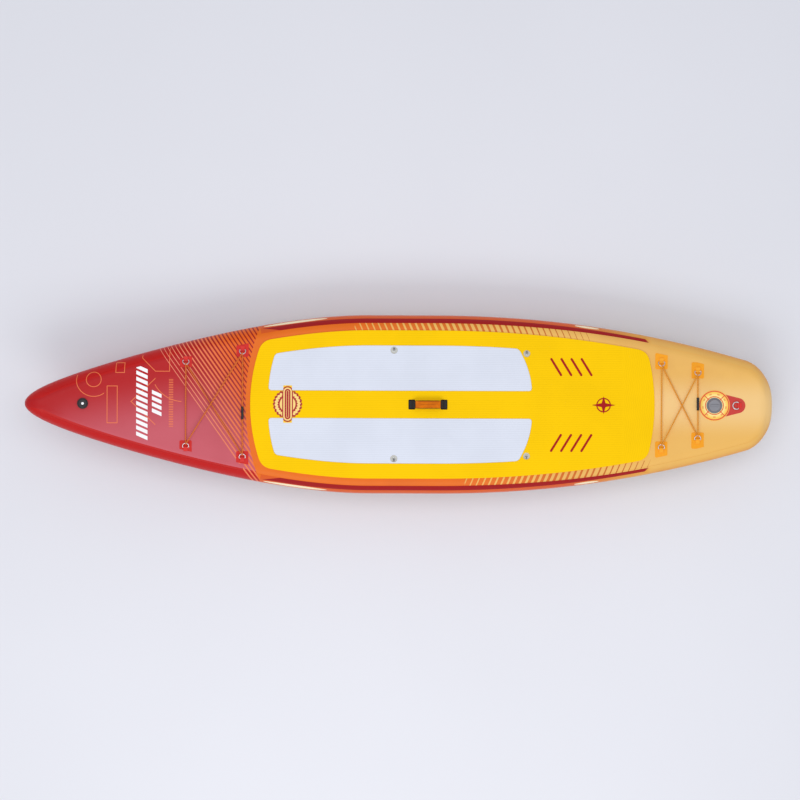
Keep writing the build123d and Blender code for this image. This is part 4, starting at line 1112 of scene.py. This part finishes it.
# ---------------------------------------------------------------- sub-assemblies
@dataclass
class Hull:
    """Inflated hull: deck, bottom, rails, rail bands and caps, each a smooth sheet with a wall."""

    wall: float = 0.0012
    valve_x: float = -1.472
    valve_hole: float = 0.0218

    def sheet_numbers(self, x: np.ndarray, y: np.ndarray, angle: np.ndarray) -> dict[str, np.ndarray]:
        """Numbers that the print reads.

        Args:
            x: Places along the board.
            y: Places across it.
            angle: Degrees up the rail.

        Returns:
            The attribute by name.
        """
        inset = (CURVES.flat_half(x) - np.abs(y)) * 1000
        past = np.sign(angle) * (90 + np.clip(inset, 0, None))
        return {"angle": np.where(np.abs(angle) >= 90, past, angle)}

    def deck(self, height: float) -> tuple[np.ndarray, np.ndarray]:
        """Flat sheet between the rails: y is v times the flat half width, v from -1 to 1.

        Args:
            height: 1 for the deck and 0 for the bottom.

        Returns:
            Points as a grid, and the angle at each.
        """
        x = CURVES.between_caps(300)[:, None]
        v = np.linspace(-1, 1, 49)[None, :]
        y = CURVES.flat_half(x) * v
        z = CURVES.rise(x) + CURVES.thickness * height + 0 * v
        return np.stack([x + 0 * v, y, z], -1), np.full(y.shape, 90.0 if height else -90.0)

    def build_deck(self, finish: bpy.types.Material) -> None:
        """Deck sheet with a round hole for the valve: rings that end in a circle take a block of the grid.

        Args:
            finish: The hull's finish.
        """
        points, angle = self.deck(1)
        rows, columns = points.shape[:2]
        near = (np.abs(points[..., 0] - self.valve_x) < 0.048) & (np.abs(points[..., 1]) < 0.050)
        i, j = np.where(near)
        low_i, high_i, low_j, high_j = i.min(), i.max(), j.min(), j.max()
        keep = np.ones((rows - 1, columns - 1), bool)
        keep[low_i:high_i, low_j:high_j] = False
        rim = np.concatenate([
            points[low_i:high_i, low_j], points[high_i, low_j:high_j],
            points[low_i + 1:high_i + 1, high_j][::-1], points[low_i, low_j + 1:high_j + 1][::-1],
        ])
        turn = np.arctan2(rim[:, 1], rim[:, 0] - self.valve_x)
        hole = np.stack([self.valve_x + self.valve_hole * np.cos(turn), self.valve_hole * np.sin(turn)], -1)
        share = np.linspace(0, 1, 7)[:, None, None]
        flat = rim[None, :, :2] * (1 - share) + hole[None] * share
        patch = np.concatenate([flat, CURVES.deck(flat[..., :1])], -1)
        patch[0] = rim
        start = rows * columns
        faces = [*grid_faces(rows, columns, keep=keep).tolist()]
        faces += (grid_faces(patch.shape[0], patch.shape[1], True) + start).tolist()
        everything = np.concatenate([points.reshape(-1, 3), patch.reshape(-1, 3)])
        numbers = self.sheet_numbers(everything[:, 0], everything[:, 1], np.full(len(everything), 90.0))
        obj = outwards(to_object("deck_cover", everything, faces, numbers, 1e-6))
        self.finish_sheet(facing(obj, (0, 0, 1)), finish, ["deck_skin"])

    def finish_sheet(self, obj: bpy.types.Object, finish: bpy.types.Material, nodes: list[str],
                     wall: Optional[float] = None) -> None:
        """Give a sheet its wall, finish and place.

        Args:
            obj: The sheet.
            finish: Its finish.
            nodes: The nodes that it replaces.
            wall: Its thickness, or None for the hull's.
        """
        walled(obj, wall or self.wall)
        place_piece(obj, finish, "hull", nodes)

    def build_bottom(self, finish: bpy.types.Material) -> None:
        """Bottom sheet.

        Args:
            finish: The hull's finish.
        """
        points, angle = self.deck(0)
        numbers = self.sheet_numbers(points[..., 0], points[..., 1], angle)
        obj = to_object("bottom_cover", points, grid_faces(*points.shape[:2]), numbers)
        self.finish_sheet(facing(obj, (0, 0, -1)), finish, ["bottom_skin"])

    def build_rail(self, side: Side, finish: bpy.types.Material) -> None:
        """Half-round rail and the band glued over it.

        Across the rail a point lies at the flat half width plus reach times the cosine of its angle, and
        at mid height plus half the thickness times the sine.

        Args:
            side: Which side.
            finish: The hull's finish.
        """
        x = CURVES.between_caps(300)[:, None]
        word = side.name.lower()
        for name, limit, lift, wall in (("rail", 90.0, 0.0, self.wall), ("rail_band", 62.0, 0.001, 0.0009)):
            angle = np.linspace(-limit, limit, 41)[None, :] + 0 * x
            turn = np.radians(angle)
            y = side.value * (CURVES.flat_half(x) + (CURVES.rail_reach(x) + lift) * np.cos(turn))
            z = CURVES.rise(x) + CURVES.thickness / 2 + (CURVES.thickness / 2 + lift) * np.sin(turn)
            points = np.stack([x + 0 * angle, y, z], -1)
            stored = {"angle": angle}
            obj = to_object(f"{word}_{name}_cover", points, grid_faces(*points.shape[:2]), stored)
            facing(obj, (0, side.value, 0))
            self.finish_sheet(obj, finish, [f"{word}_{name}"], wall)

    def build_cap(self, name: str, sign: int, run: float, tip: float, node: str,
                  finish: bpy.types.Material) -> None:
        """Cap: whole sections that shrink as an ellipse to the tip, closed by a last ring of no size.

        Args:
            name: The piece's name.
            sign: 1 at the nose and -1 at the tail.
            run: Length of the cap.
            tip: How far from the end of the outline the cap stops.
            node: The node that it replaces.
            finish: The hull's finish.
        """
        share = np.linspace(0, 1, 40) ** 1.7
        x = (sign * (CURVES.length / 2 - run + (run - tip) * np.sin(share * math.pi / 2)))[:, None]
        turn = np.radians(np.linspace(-90, 90, 29))[None, :]
        edge, height = CURVES.flat_half(x), CURVES.half_thickness(x)
        reach = CURVES.rail_reach(x) + CURVES.band
        rail_y, rail_z = edge + reach * np.cos(turn), height * np.sin(turn)
        across = np.linspace(1, -1, 17)[None, 1:-1]
        top_y, top_z = edge * across, height + 0 * across
        y = np.concatenate([rail_y, top_y, -rail_y[:, ::-1], -top_y], 1)
        z = np.concatenate([rail_z, top_z, rail_z[:, ::-1], -top_z], 1)
        up = np.degrees(turn) + 0 * x
        angle = np.concatenate([up, 90 + 0 * top_y, up[:, ::-1], -90 + 0 * top_y], 1)
        points = np.stack([x + 0 * y, y, z + CURVES.rise(x) + CURVES.thickness / 2], -1)
        centre = np.broadcast_to(points[-1].mean(0), points[-1:].shape)
        points, angle = np.concatenate([points, centre]), np.concatenate([angle, angle[-1:] * 0])
        numbers = self.sheet_numbers(points[..., 0], points[..., 1], angle)
        faces = grid_faces(points.shape[0], points.shape[1], True)
        obj = outwards(to_object(name, points, faces, numbers, 1e-7))
        self.finish_sheet(facing(obj, (sign, 0, 0)), finish, [node])

    def build(self) -> None:
        """Build and dress every part of the hull."""
        finish = HullPrintAndSheen("hull_print_and_sheen").make()
        self.build_deck(finish)
        self.build_bottom(finish)
        for side in Side:
            self.build_rail(side, finish)
        self.build_cap("nose_cover", 1, CURVES.nose_cap, CURVES.nose_tip, "nose_cap", finish)
        self.build_cap("tail_cover", -1, CURVES.tail_cap, CURVES.tail_tip, "tail_cap", finish)
        dress_nodes(Webbing("drop_stitch_thread", shade(226, 226, 220)).make(), "drop_stitch_yarns")


@dataclass
class DeckPad:
    """Foam pad with its two inlaid panels and raised marks."""

    thickness: float = 0.005
    round_over: float = 0.0016
    front: float = 0.710
    front_corner: float = 0.655
    rear: float = -1.192
    rear_corner: float = -1.157
    corner_radius: float = 0.042
    edge_gap: float = 0.0006
    stripe_half: float = 0.065
    panel_inset: float = 0.145
    panel_front: tuple[float, float] = (0.624, 0.593)
    panel_rear: tuple[float, float] = (-0.615, -0.552)
    panel_radius: float = 0.016
    inlay_gap: float = 0.0004
    handle_x: float = -0.126
    anchor_offset: float = 0.076
    anchor_size: tuple[float, float] = (0.031, 0.046)
    seat_hole: float = 0.0165
    seat_spots: tuple[tuple[float, float], ...] = (
        (0.034, 0.255), (0.034, -0.255), (-0.590, 0.241), (-0.590, -0.241),
    )

    def arc(self, start: np.ndarray, middle: np.ndarray, end: np.ndarray, count: int = 25) -> np.ndarray:
        """Arc through three points, as a parabola that passes the middle one at half way.

        Args:
            start: First point.
            middle: Point at half way.
            end: Last point.
            count: Number of points.

        Returns:
            Points along it.
        """
        t = np.linspace(0, 1, count)[:, None]
        return start * (1 - t) * (1 - 2 * t) + middle * 4 * t * (1 - t) + end * t * (2 * t - 1)

    def rounded(self, runs: Sequence[np.ndarray], radius: float) -> np.ndarray:
        """Join runs into a loop with round corners.

        Each corner is cut back by the radius over the tangent of half the corner's angle, and a
        quadratic curve joins the two cuts.

        Args:
            runs: Point rows, each starting at the corner where the one before it ends.
            radius: Corner radius.

        Returns:
            The loop's points.
        """
        trimmed = []
        for run in runs:
            length = np.concatenate([[0], np.cumsum(np.linalg.norm(np.diff(run, axis=0), axis=1))])
            cut = min(radius * 1.05, length[-1] * 0.45)
            inner = (length > cut + 1e-3) & (length < length[-1] - cut - 1e-3)
            places = np.concatenate([[cut], length[inner], [length[-1] - cut]])
            trimmed.append(np.stack([np.interp(places, length, run[:, axis]) for axis in (0, 1)], -1))
        t = np.linspace(0, 1, 12)[1:-1, None]
        pieces = []
        for index, run in enumerate(trimmed):
            after, corner = trimmed[(index + 1) % len(trimmed)], runs[index][-1]
            bend = run[-1] * (1 - t) ** 2 + corner * 2 * t * (1 - t) + after[0] * t**2
            pieces += [run, bend]
        return np.concatenate(pieces)

    def pad_loop(self) -> np.ndarray:
        """Outline of the pad, anticlockwise from its starboard rear corner."""
        x = np.linspace(self.rear_corner, self.front_corner, 80)
        side = CURVES.flat_half(x) - self.edge_gap
        starboard = np.stack([x, -side], -1)
        port = np.stack([x, side], -1)[::-1]
        front = self.arc(starboard[-1], np.array([self.front, 0.0]), port[0], 61)
        rear = self.arc(port[-1], np.array([self.rear, 0.0]), starboard[0], 41)
        return self.rounded([starboard, front, port, rear], self.corner_radius)

    def panel_loop(self, side: Side, grow: float) -> np.ndarray:
        """Outline of a panel, anticlockwise.

        Args:
            side: Which panel.
            grow: How much larger it is drawn, for the window that it lies in.

        Returns:
            The loop's points.
        """
        inner = self.stripe_half - grow
        front_inner, front_outer = (value + grow for value in self.panel_front)
        rear_inner, rear_outer = (value - grow for value in self.panel_rear)
        x = np.linspace(rear_outer, front_outer, 50)
        outer = np.stack([x, CURVES.half_width(x) - self.panel_inset + grow], -1)[::-1]
        edge = np.array([[rear_inner, inner], [front_inner, inner]])
        front_middle = (edge[1] + outer[0]) / 2 + np.array([0.006, 0])
        rear_middle = (outer[-1] + edge[0]) / 2 - np.array([0.014, 0])
        front_arc = self.arc(edge[1], front_middle, outer[0])
        rear_arc = self.arc(outer[-1], rear_middle, edge[0])
        runs = [edge, front_arc, outer, rear_arc]
        loop = self.rounded(runs, self.panel_radius)
        if side is Side.STARBOARD:
            loop = (loop * np.array([1, -1]))[::-1]
        return loop

    def foam(self, name: str, loops: Sequence[np.ndarray]) -> bpy.types.Object:
        """Foam sheet on the deck: a rounded edge runs round every loop, and flat faces fill between.

        Round each loop the edge goes straight up from the deck, then over a quarter circle, then in.

        Args:
            name: The piece's name.
            loops: The outline, anticlockwise, and then the holes, clockwise.

        Returns:
            The closed sheet.
        """
        turn = np.linspace(0, math.pi / 2, 5)
        inset = np.concatenate([[0], self.round_over * (1 - np.cos(turn)), [self.round_over + 0.0015]])
        rounded = self.thickness - self.round_over * (1 - np.sin(turn))
        height = np.concatenate([[0], rounded, [self.thickness]])
        shape = bmesh.new()
        for loop in loops:
            ahead, behind = np.roll(loop, -1, 0), np.roll(loop, 1, 0)
            along = ahead - behind
            along /= np.linalg.norm(along, axis=1, keepdims=True)
            inward = np.stack([-along[:, 1], along[:, 0]], -1)
            flat = loop[None] + inward[None] * inset[:, None, None]
            points = np.concatenate([flat, np.broadcast_to(height[:, None, None], (*flat.shape[:2], 1))], -1)
            rows, columns = points.shape[:2]
            made = [shape.verts.new(p) for p in points.reshape(-1, 3).tolist()]
            for quad in grid_faces(rows, columns, True).tolist():
                shape.faces.new([made[k] for k in quad])
        for level in (self.thickness, 0.0):
            rim = [e for e in shape.edges if len(e.link_faces) == 1 and abs(e.verts[0].co.z - level) < 1e-9
                   and abs(e.verts[1].co.z - level) < 1e-9]
            bmesh.ops.triangle_fill(shape, edges=rim, use_beauty=True, use_dissolve=False)
        for place in np.linspace(-1.16, 0.69, 48).tolist():
            everything = [*shape.verts, *shape.edges, *shape.faces]
            bmesh.ops.bisect_plane(shape, geom=everything, plane_co=(place, 0, 0), plane_no=(1, 0, 0))
        bmesh.ops.recalc_face_normals(shape, faces=shape.faces)
        mesh = bpy.data.meshes.new(name)
        shape.to_mesh(mesh)
        shape.free()
        points = np.zeros(len(mesh.vertices) * 3)
        mesh.vertices.foreach_get("co", points)
        points = points.reshape(-1, 3)
        points[:, 2] += CURVES.deck(points[:, 0])
        mesh.vertices.foreach_set("co", points.ravel())
        mesh.polygons.foreach_set("use_smooth", np.ones(len(mesh.polygons), bool))
        obj = bpy.data.objects.new(name, mesh)
        bpy.context.scene.collection.objects.link(obj)
        return obj

    def cut_seats(self, obj: bpy.types.Object) -> None:
        """Cut the round seat-ring holes through a sheet.

        Args:
            obj: The sheet.
        """
        profile = round_profile(self.seat_hole, 48)
        levels = np.array([0.10, 0.30])
        x, y = (np.array([s[axis] for s in self.seat_spots]) for axis in (0, 1))
        ring = np.stack([x[:, None] + profile[:, 0], y[:, None] + profile[:, 1]], -1)
        points = np.concatenate([np.broadcast_to(ring[:, None], (4, 2, 48, 2)),
                                 np.broadcast_to(levels[None, :, None, None], (4, 2, 48, 1))], -1)
        faces = []
        for index in range(4):
            start = index * 96
            faces += (grid_faces(2, 48, True) + start).tolist()
            faces += [list(range(start, start + 48)), list(range(start + 48, start + 96))[::-1]]
        cutter = outwards(to_object("seat_cutter", points, faces))
        cut = obj.modifiers.new("seats", "BOOLEAN")
        cut.operation, cut.solver, cut.object = "DIFFERENCE", "EXACT", cutter
        settled(obj)
        bpy.data.objects.remove(cutter)

    def build(self) -> None:
        """Build the pad, its panels and the finish of the raised marks."""
        half_length, half_width = self.anchor_size[0] / 2, self.anchor_size[1] / 2
        windows = [self.panel_loop(side, self.inlay_gap)[::-1] for side in Side]
        feet = []
        for sign in (-1, 1):
            middle = self.handle_x + sign * self.anchor_offset
            corners = np.array([[-1, -1], [1, -1], [1, 1], [-1, 1]]) * [half_length, half_width] + [middle, 0]
            runs = [np.stack([corners[k], corners[(k + 1) % 4]]) for k in range(4)]
            feet.append(self.rounded(runs, 0.004)[::-1])
        pad = self.foam("deck_pad_foam", [self.pad_loop(), *windows, *feet])
        self.cut_seats(pad)
        yellow = Foam("yellow_foam", Tone.YELLOW.value, wave_from=-1.03).make()
        place_piece(pad, yellow, "hull", ["deck_pad"])
        white = Foam("white_foam", Tone.PANEL_WHITE.value).make()
        for side in Side:
            word = side.name.lower()
            panel = self.foam(f"{word}_panel_foam", [self.panel_loop(side, 0.0)])
            self.cut_seats(panel)
            place_piece(panel, white, "hull", [f"{word}_pad_panel"])
        marks = Foam("red_foam", Tone.MARK_RED.value, groove=0.004, depth=0.0003).make()
        dress_nodes(marks, "grip_bars", "pad_icon")
        dress_nodes(RoundelPrint("roundel_print").make(), "pad_roundel")


@dataclass
class CarryHandle:
    """Carry handle: a padded sleeve with stitched edges on a strap between two anchors."""

    middle: float = -0.126
    grip_length: float = 0.122
    grip_width: float = 0.038
    grip_height: float = 0.013
    grip_base: float = 0.167
    web_width: float = 0.034
    web_thick: float = 0.003
    web_foot: float = 0.156
    heel: float = 0.088
    knee: float = 0.078
    tip: float = 0.0613
    stitch: float = 0.0042

    @property
    def centre_height(self) -> float:
        """Height of the grip's middle."""
        return self.grip_base + self.grip_height / 2

    def build_sleeve(self) -> None:
        """Sleeve: a superellipse carried along X, drawn in at its ends and padded in its middle."""
        t = np.linspace(-1, 1, 61)
        path = np.stack([self.middle + t * self.grip_length / 2, 0 * t, self.centre_height + 0 * t], -1)
        size = 1 - 0.16 * np.abs(t) ** 26 - 0.03 * np.abs(t) ** 3
        profile = box_profile(self.grip_width, self.grip_height, 3.4, 56)
        sleeve = carried("grip_sleeve", path, profile, (0, 0, 1), size)
        recipe = Recipe("grip_neoprene")
        x, y, _ = recipe.place()
        turn = 2 * math.pi / 0.0016
        knit = ((x * turn).sine() * (y * turn + (x * turn * 0.5).sine()).sine()) * 0.5 + 0.5
        rim = (abs(y) > 0.0168) | (abs(x - self.middle) > 0.0585)
        worn = recipe.mix(recipe.noise(30.0).rising(0.35, 0.75), shade(206, 104, 6), Tone.GRIP_ORANGE.value)
        dash = abs(y).within(0.0, 0.0012) * ((x / 0.006).share() < 0.6) * (abs(x - self.middle) < 0.034)
        worn = recipe.mix(dash * 0.7, worn, shade(120, 52, 10))
        colour = recipe.mix(rim, worn, shade(46, 26, 18))
        finish = recipe.paint(colour, knit * 0.1 + 0.7, knit, 0.0004, Specular_IOR_Level=0.15)
        place_piece(sleeve, finish, "carry_handle", ["handle_grip"])

    def build_stitches(self) -> None:
        """Stitches: short capsules in a row inside each long edge of the sleeve's top."""
        places = self.middle + np.arange(-12, 13) * self.stitch
        t = np.linspace(0, math.pi, 7)
        length, girth = np.cos(t) * 0.0014, np.sin(t) * 0.00045
        turn = np.linspace(0, 2 * math.pi, 6, endpoint=False)
        x = places[None, :, None, None] + length[None, None, :, None] + 0 * turn
        rows = np.array([-0.0148, 0.0148])[:, None, None, None]
        y = rows + girth[None, None, :, None] * np.cos(turn) + 0 * x
        z = self.centre_height + 0.0058 + girth[None, None, :, None] * np.sin(turn) + 0 * x
        points = np.stack(np.broadcast_arrays(x, y, z), -1).reshape(-1, 7 * 6, 3)
        one = grid_faces(7, 6, True)
        faces = (one[None] + (np.arange(len(points)) * 42)[:, None, None]).reshape(-1, 4)
        stitches = outwards(to_object("grip_stitches", points, faces.tolist(), None, 1e-7))
        thread = Moulded("stitch_thread", Tone.THREAD.value, 0.6).make()
        place_piece(stitches, thread, "carry_handle")

    def build_web(self, name: str, sign: int, node: str) -> None:
        """Strap from its anchor up into the sleeve, flat on the anchor and then in an easy curve.

        Args:
            name: The piece's name.
            sign: 1 towards the nose and -1 towards the tail.
            node: The node that it replaces.
        """
        lift = self.web_foot + self.web_thick / 2
        t = np.linspace(0, 1, 33)
        reach = self.heel + (self.tip - 0.002 - self.heel) * t
        climb = np.clip((self.knee + 0.002 - reach) / (self.knee + 0.002 - self.tip), 0, 1)
        z = lift + (self.centre_height - lift) * climb**2 * (3 - 2 * climb)
        path = np.stack([self.middle + sign * reach, 0 * t, z], -1)
        strap = carried(name, path, box_profile(self.web_width, self.web_thick, 6.0, 36), (0, 0, 1))
        place_piece(strap, Webbing(f"{name}_weave", Tone.BLACK.value).make(), None, [node])
        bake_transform(strap)

    def build(self) -> None:
        """Build the whole handle."""
        self.build_sleeve()
        self.build_stitches()
        self.build_web("handle_strap_front", 1, "handle_web_front")
        self.build_web("handle_strap_rear", -1, "handle_web_rear")
        dress_nodes(Webbing("anchor_weave", Tone.BLACK.value).make(), "handle_core")
        dress_nodes(CoatedFabric("anchor_pvc", Tone.BLACK.value, gloss=0.5).make(), "handle_anchors")


@dataclass
class TieDowns:
    """Bungee tie-downs: patches, straps and rings, with a braided cord laced over four rings."""

    cord_radius: float = 0.003
    ring_tilt: float = math.radians(20.0)
    ring_reach: float = 0.0205
    turn_radius: float = 0.0052
    bar_height: float = 0.0056
    stations: tuple[float, ...] = (0.075, 0.150, 0.238, 0.324, 0.392, 0.440, 0.496, 0.562, 0.630, 0.700)

    def slope(self, x: float) -> float:
        """Slope of the deck at x."""
        rises = CURVES.rise(np.array([x - 0.02, x + 0.02]))
        return float(rises[1] - rises[0]) / 0.04

    def turn(self, x: float, y: float) -> tuple[np.ndarray, np.ndarray]:
        """Where the cord goes round a ring's bow.

        Args:
            x: The ring's place along the board.
            y: The ring's place across it.

        Returns:
            The upper and the lower corner of the turn.
        """
        slope = self.slope(x)
        normal = np.array([-slope, 0, 1]) / math.hypot(slope, 1)
        inboard = np.array([0, -math.copysign(1, y), 0])
        origin = np.array([x, y, float(CURVES.deck(np.array(x)))]) + normal * self.bar_height
        forward = inboard * math.cos(self.ring_tilt) + normal * math.sin(self.ring_tilt)
        outboard = origin + forward * self.ring_reach - inboard * self.turn_radius
        return outboard + normal * self.turn_radius, outboard - normal * self.turn_radius

    def route(self, fore: tuple[float, float], aft: tuple[float, float], joiner_y: float) -> np.ndarray:
        """Closed lacing over four rings, from one end of the cord to the other inside the joiner.

        Each turn has its two corners, and each straight run has a point near either corner and
        another six diameters from it.

        Args:
            fore: x and reach of the fore rings.
            aft: x and reach of the aft rings.
            joiner_y: Place of the joiner along the aft run.

        Returns:
            The route's points.
        """
        fore_starboard, fore_port = self.turn(fore[0], -fore[1]), self.turn(fore[0], fore[1])
        aft_starboard, aft_port = self.turn(aft[0], -aft[1]), self.turn(aft[0], aft[1])
        turns = [aft_port, fore_starboard[::-1], fore_port[::-1], aft_starboard]
        share = (joiner_y - aft_starboard[1][1]) / (aft_port[0][1] - aft_starboard[1][1])
        joiner = aft_starboard[1] + (aft_port[0] - aft_starboard[1]) * share
        stops = [joiner, *[corner for pair in turns for corner in pair], joiner]
        points = [joiner]
        for index in range(0, len(stops), 2):
            start, end = stops[index], stops[index + 1]
            way = (end - start) / np.linalg.norm(end - start)
            if index > 0:
                points += [start + way * 0.0104, start + way * 0.036]
            if index + 2 < len(stops):
                points += [end - way * 0.036, end - way * 0.0104, end, stops[index + 2]]
        return np.array([*points, joiner])

    def cord(self, name: str, points: np.ndarray, finish: bpy.types.Material, node: str) -> None:
        """Braided cord: a circle carried along the smooth spline that the route's points control.

        Args:
            name: The piece's name.
            points: The route.
            finish: The braid.
            node: The node that it replaces.
        """
        curve = bpy.data.curves.new(f"{name}_line", "CURVE")
        curve.dimensions, curve.resolution_u = "3D", 10
        spline = curve.splines.new("NURBS")
        spline.points.add(len(points) - 1)
        spline.points.foreach_set("co", np.concatenate([points, np.ones((len(points), 1))], 1).ravel())
        spline.order_u, spline.use_endpoint_u = 3, True
        holder = bpy.data.objects.new(f"{name}_line", curve)
        bpy.context.scene.collection.objects.link(holder)
        line = bpy.data.meshes.new_from_object(holder)
        path = np.zeros(len(line.vertices) * 3)
        line.vertices.foreach_get("co", path)
        bpy.data.objects.remove(holder)
        path = path.reshape(-1, 3)
        apart = np.linalg.norm(np.diff(path, axis=0), axis=1)
        path = path[np.concatenate([[True], apart > 1e-5])]
        tube = carried(name, path, round_profile(self.cord_radius, 12), (1, 0, 0))
        place_piece(tube, finish, "hull", [node])

    def build(self) -> None:
        """Build both cords and dress the rings, straps, patches and joiners."""
        orange = Braid("bow_braid", Tone.CORD_ORANGE.value, Tone.CORD_DARK.value).make()
        yellow = Braid("stern_braid", shade(230, 150, 30), Tone.CORD_DARK.value).make()
        self.cord("bow_cord", self.route((1.010, 0.204), (0.746, 0.254), 0.042), orange, "bow_bungee")
        self.cord("stern_cord", self.route((-1.224, 0.204), (-1.394, 0.161), -0.007), yellow, "stern_bungee")
        bow = CoatedFabric("bow_patch_pvc", Tone.PATCH_RED.value).make()
        dress_nodes(bow, "bow_ring_patches")
        red_straps = Webbing("bow_strap_weave", Tone.PATCH_RED.value).make()
        dress_nodes(red_straps, "bow_ring_straps", "leash_ring_strap")
        dress_nodes(CoatedFabric("stern_patch_pvc", Tone.PATCH_ORANGE.value).make(), "stern_ring_patches")
        dress_nodes(Webbing("stern_strap_weave", Tone.PATCH_ORANGE.value).make(), "stern_ring_straps")
        steel = Metal("ring_steel", shade(212, 212, 214)).make()
        dress_nodes(steel, "bow_rings", "stern_rings", "leash_ring", "accessory_mount_insert", "fin_screw",
                    "seat_ring_1", "seat_ring_2", "seat_ring_3", "seat_ring_4")
        joiners = Moulded("joiner_plastic", Tone.BLACK.value).make()
        dress_nodes(joiners, "bow_cord_joiner", "stern_cord_joiner")


@dataclass
class Valve:
    """Inflation valve: its body, cap, seals, label and a coil spring that closes it."""

    x: float = -1.472
    foot: float = -0.0302
    height: float = 0.0173
    coil: float = 0.0049
    wire: float = 0.0006
    turns: int = 5
    travel: float = 0.006

    def build_spring(self) -> None:
        """Coil: a circle carried along a helix about the valve's axis."""
        rises = CURVES.rise(np.array([self.x - 0.02, self.x + 0.02]))
        slope = float(rises[1] - rises[0]) / 0.04
        normal = np.array([-slope, 0, 1]) / math.hypot(slope, 1)
        forward, port = np.array([1, 0, slope]) / math.hypot(slope, 1), np.array([0.0, 1.0, 0.0])
        origin = np.array([self.x, 0, float(CURVES.deck(np.array(self.x)))]) + normal * self.foot
        t = np.linspace(0, 1, self.turns * 24 + 1)[:, None]
        turn = t * self.turns * 2 * math.pi
        path = origin + self.coil * (np.cos(turn) * forward + np.sin(turn) * port) + normal * self.height * t
        spring = carried("valve_coil", path, round_profile(self.wire, 8), tuple(normal))
        place_piece(spring, Metal("spring_wire", shade(190, 192, 198)).make(), "hull",
                    ["valve_spring"])
        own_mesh(spring)

    def build(self) -> None:
        """Build the spring and dress the valve."""
        self.build_spring()
        body = Moulded("valve_grey", Tone.GREY.value, 0.38).make()
        dress_nodes(body, "valve_base", "valve_collar", "valve_pin")
        dress_nodes(Moulded("cap_grey", shade(132, 132, 138), 0.34).make(), "valve_cap")
        dress_nodes(Moulded("seal_black", Tone.BLACK.value, 0.6).make(), "valve_seal", "cap_seal")
        dress_nodes(ValvePrint("valve_label_print").make(), "valve_label")


@dataclass
class Fittings:
    """Leash patch, seat-ring bases, accessory mount and fins."""

    def build(self) -> None:
        """Dress the fittings."""
        dress_nodes(CoatedFabric("leash_patch_pvc", Tone.TEARDROP.value).make(), "leash_patch")
        dress_nodes(CoatedFabric("seat_base_pvc", shade(206, 206, 196)).make(), "seat_ring_bases")
        dress_nodes(Webbing("seat_strap_weave", shade(120, 120, 122)).make(), "seat_ring_straps")
        dress_nodes(Moulded("mount_plastic", Tone.BLACK.value).make(), "accessory_mount_base", "fin_box")
        dress_nodes(CoatedFabric("fin_patch_pvc", Tone.BLACK.value).make(), "fin_box_patch", "side_fin_bases")
        dress_nodes(Moulded("fin_nylon", shade(34, 32, 36), 0.32).make(), "centre_fin")
        rubber = Moulded("fin_rubber_black", Tone.FIN_BLACK.value, 0.55).make()
        dress_nodes(rubber, "port_side_fin", "starboard_side_fin")
        dress_nodes(Metal("brass", shade(206, 170, 96)).make(), "fin_pin", "fin_nut_plate")


@dataclass
class Studio:
    """Pale floor, soft light from port and a camera straight above."""

    floor_height: float = -0.110
    lens: float = 84.6
    height: float = 8.997
    roll: float = math.radians(0.2)

    def lamp(self, name: str, place: Sequence[float], size: tuple[float, float], power: float,
             aim: Sequence[float] = (0, 0, 0)) -> None:
        """Rectangular soft light that looks at a point.

        Args:
            name: The light's name.
            place: Where it hangs.
            size: Length and width.
            power: Watts.
            aim: The point that it looks at.
        """
        light = bpy.data.lights.new(name, "AREA")
        light.shape, light.size, light.size_y, light.energy = "RECTANGLE", size[0], size[1], power
        holder = bpy.data.objects.new(name, light)
        holder.location = place
        away = Vector(place) - Vector(aim)
        holder.rotation_mode = "QUATERNION"
        holder.rotation_quaternion = away.to_track_quat("Z", "Y")
        bpy.context.scene.collection.objects.link(holder)

    def build_floor(self) -> None:
        """Large floor sheet with a faint mottle."""
        t = np.linspace(-1, 1, 9) * 30
        x, y = np.meshgrid(t, t, indexing="ij")
        points = np.stack([x, y, self.floor_height + 0 * x], -1)
        floor = facing(to_object("floor", points, grid_faces(9, 9)), (0, 0, 1))
        recipe = Recipe("floor_paper")
        colour = recipe.mix(recipe.noise(0.6), shade(224, 225, 230), shade(230, 231, 236))
        floor.data.materials.append(recipe.paint(colour, 0.9))

    def build(self) -> None:
        """Set the floor, lights, sky and camera."""
        self.build_floor()
        world = bpy.data.worlds.new("studio")
        world.use_nodes = True
        sky = world.node_tree.nodes["Background"]
        sky.inputs["Color"].default_value = (0.93, 0.94, 1.0, 1)
        sky.inputs["Strength"].default_value = 0.70
        bpy.context.scene.world = world
        bpy.context.scene.view_settings.view_transform = "Standard"
        self.lamp("port_softbox", (0.4, 4.2, 4.6), (5.0, 2.4), 110.0, (0, 0, 0.1))
        self.lamp("overhead_softbox", (0.0, -1.2, 7.5), (7.0, 4.0), 130.0, (0, 0, 0.1))
        camera = bpy.data.cameras.new("camera")
        camera.lens, camera.sensor_width = self.lens, 36.0
        camera.clip_start, camera.clip_end = 0.1, 100.0
        holder = bpy.data.objects.new("camera", camera)
        holder.location = (0.0056, -0.021, self.height)
        holder.rotation_euler = (0, 0, math.pi + self.roll)
        bpy.context.scene.collection.objects.link(holder)
        bpy.context.scene.camera = holder


def main() -> None:
    """Build the board piece by piece."""
    logging.basicConfig(level=logging.INFO, format="%(name)s: %(message)s")
    for part in (Studio(), Hull(), DeckPad(), CarryHandle(), TieDowns(), Valve(), Fittings()):
        LOG.info("building %s", type(part).__name__)
        part.build()


if __name__ == "__main__":
    main()
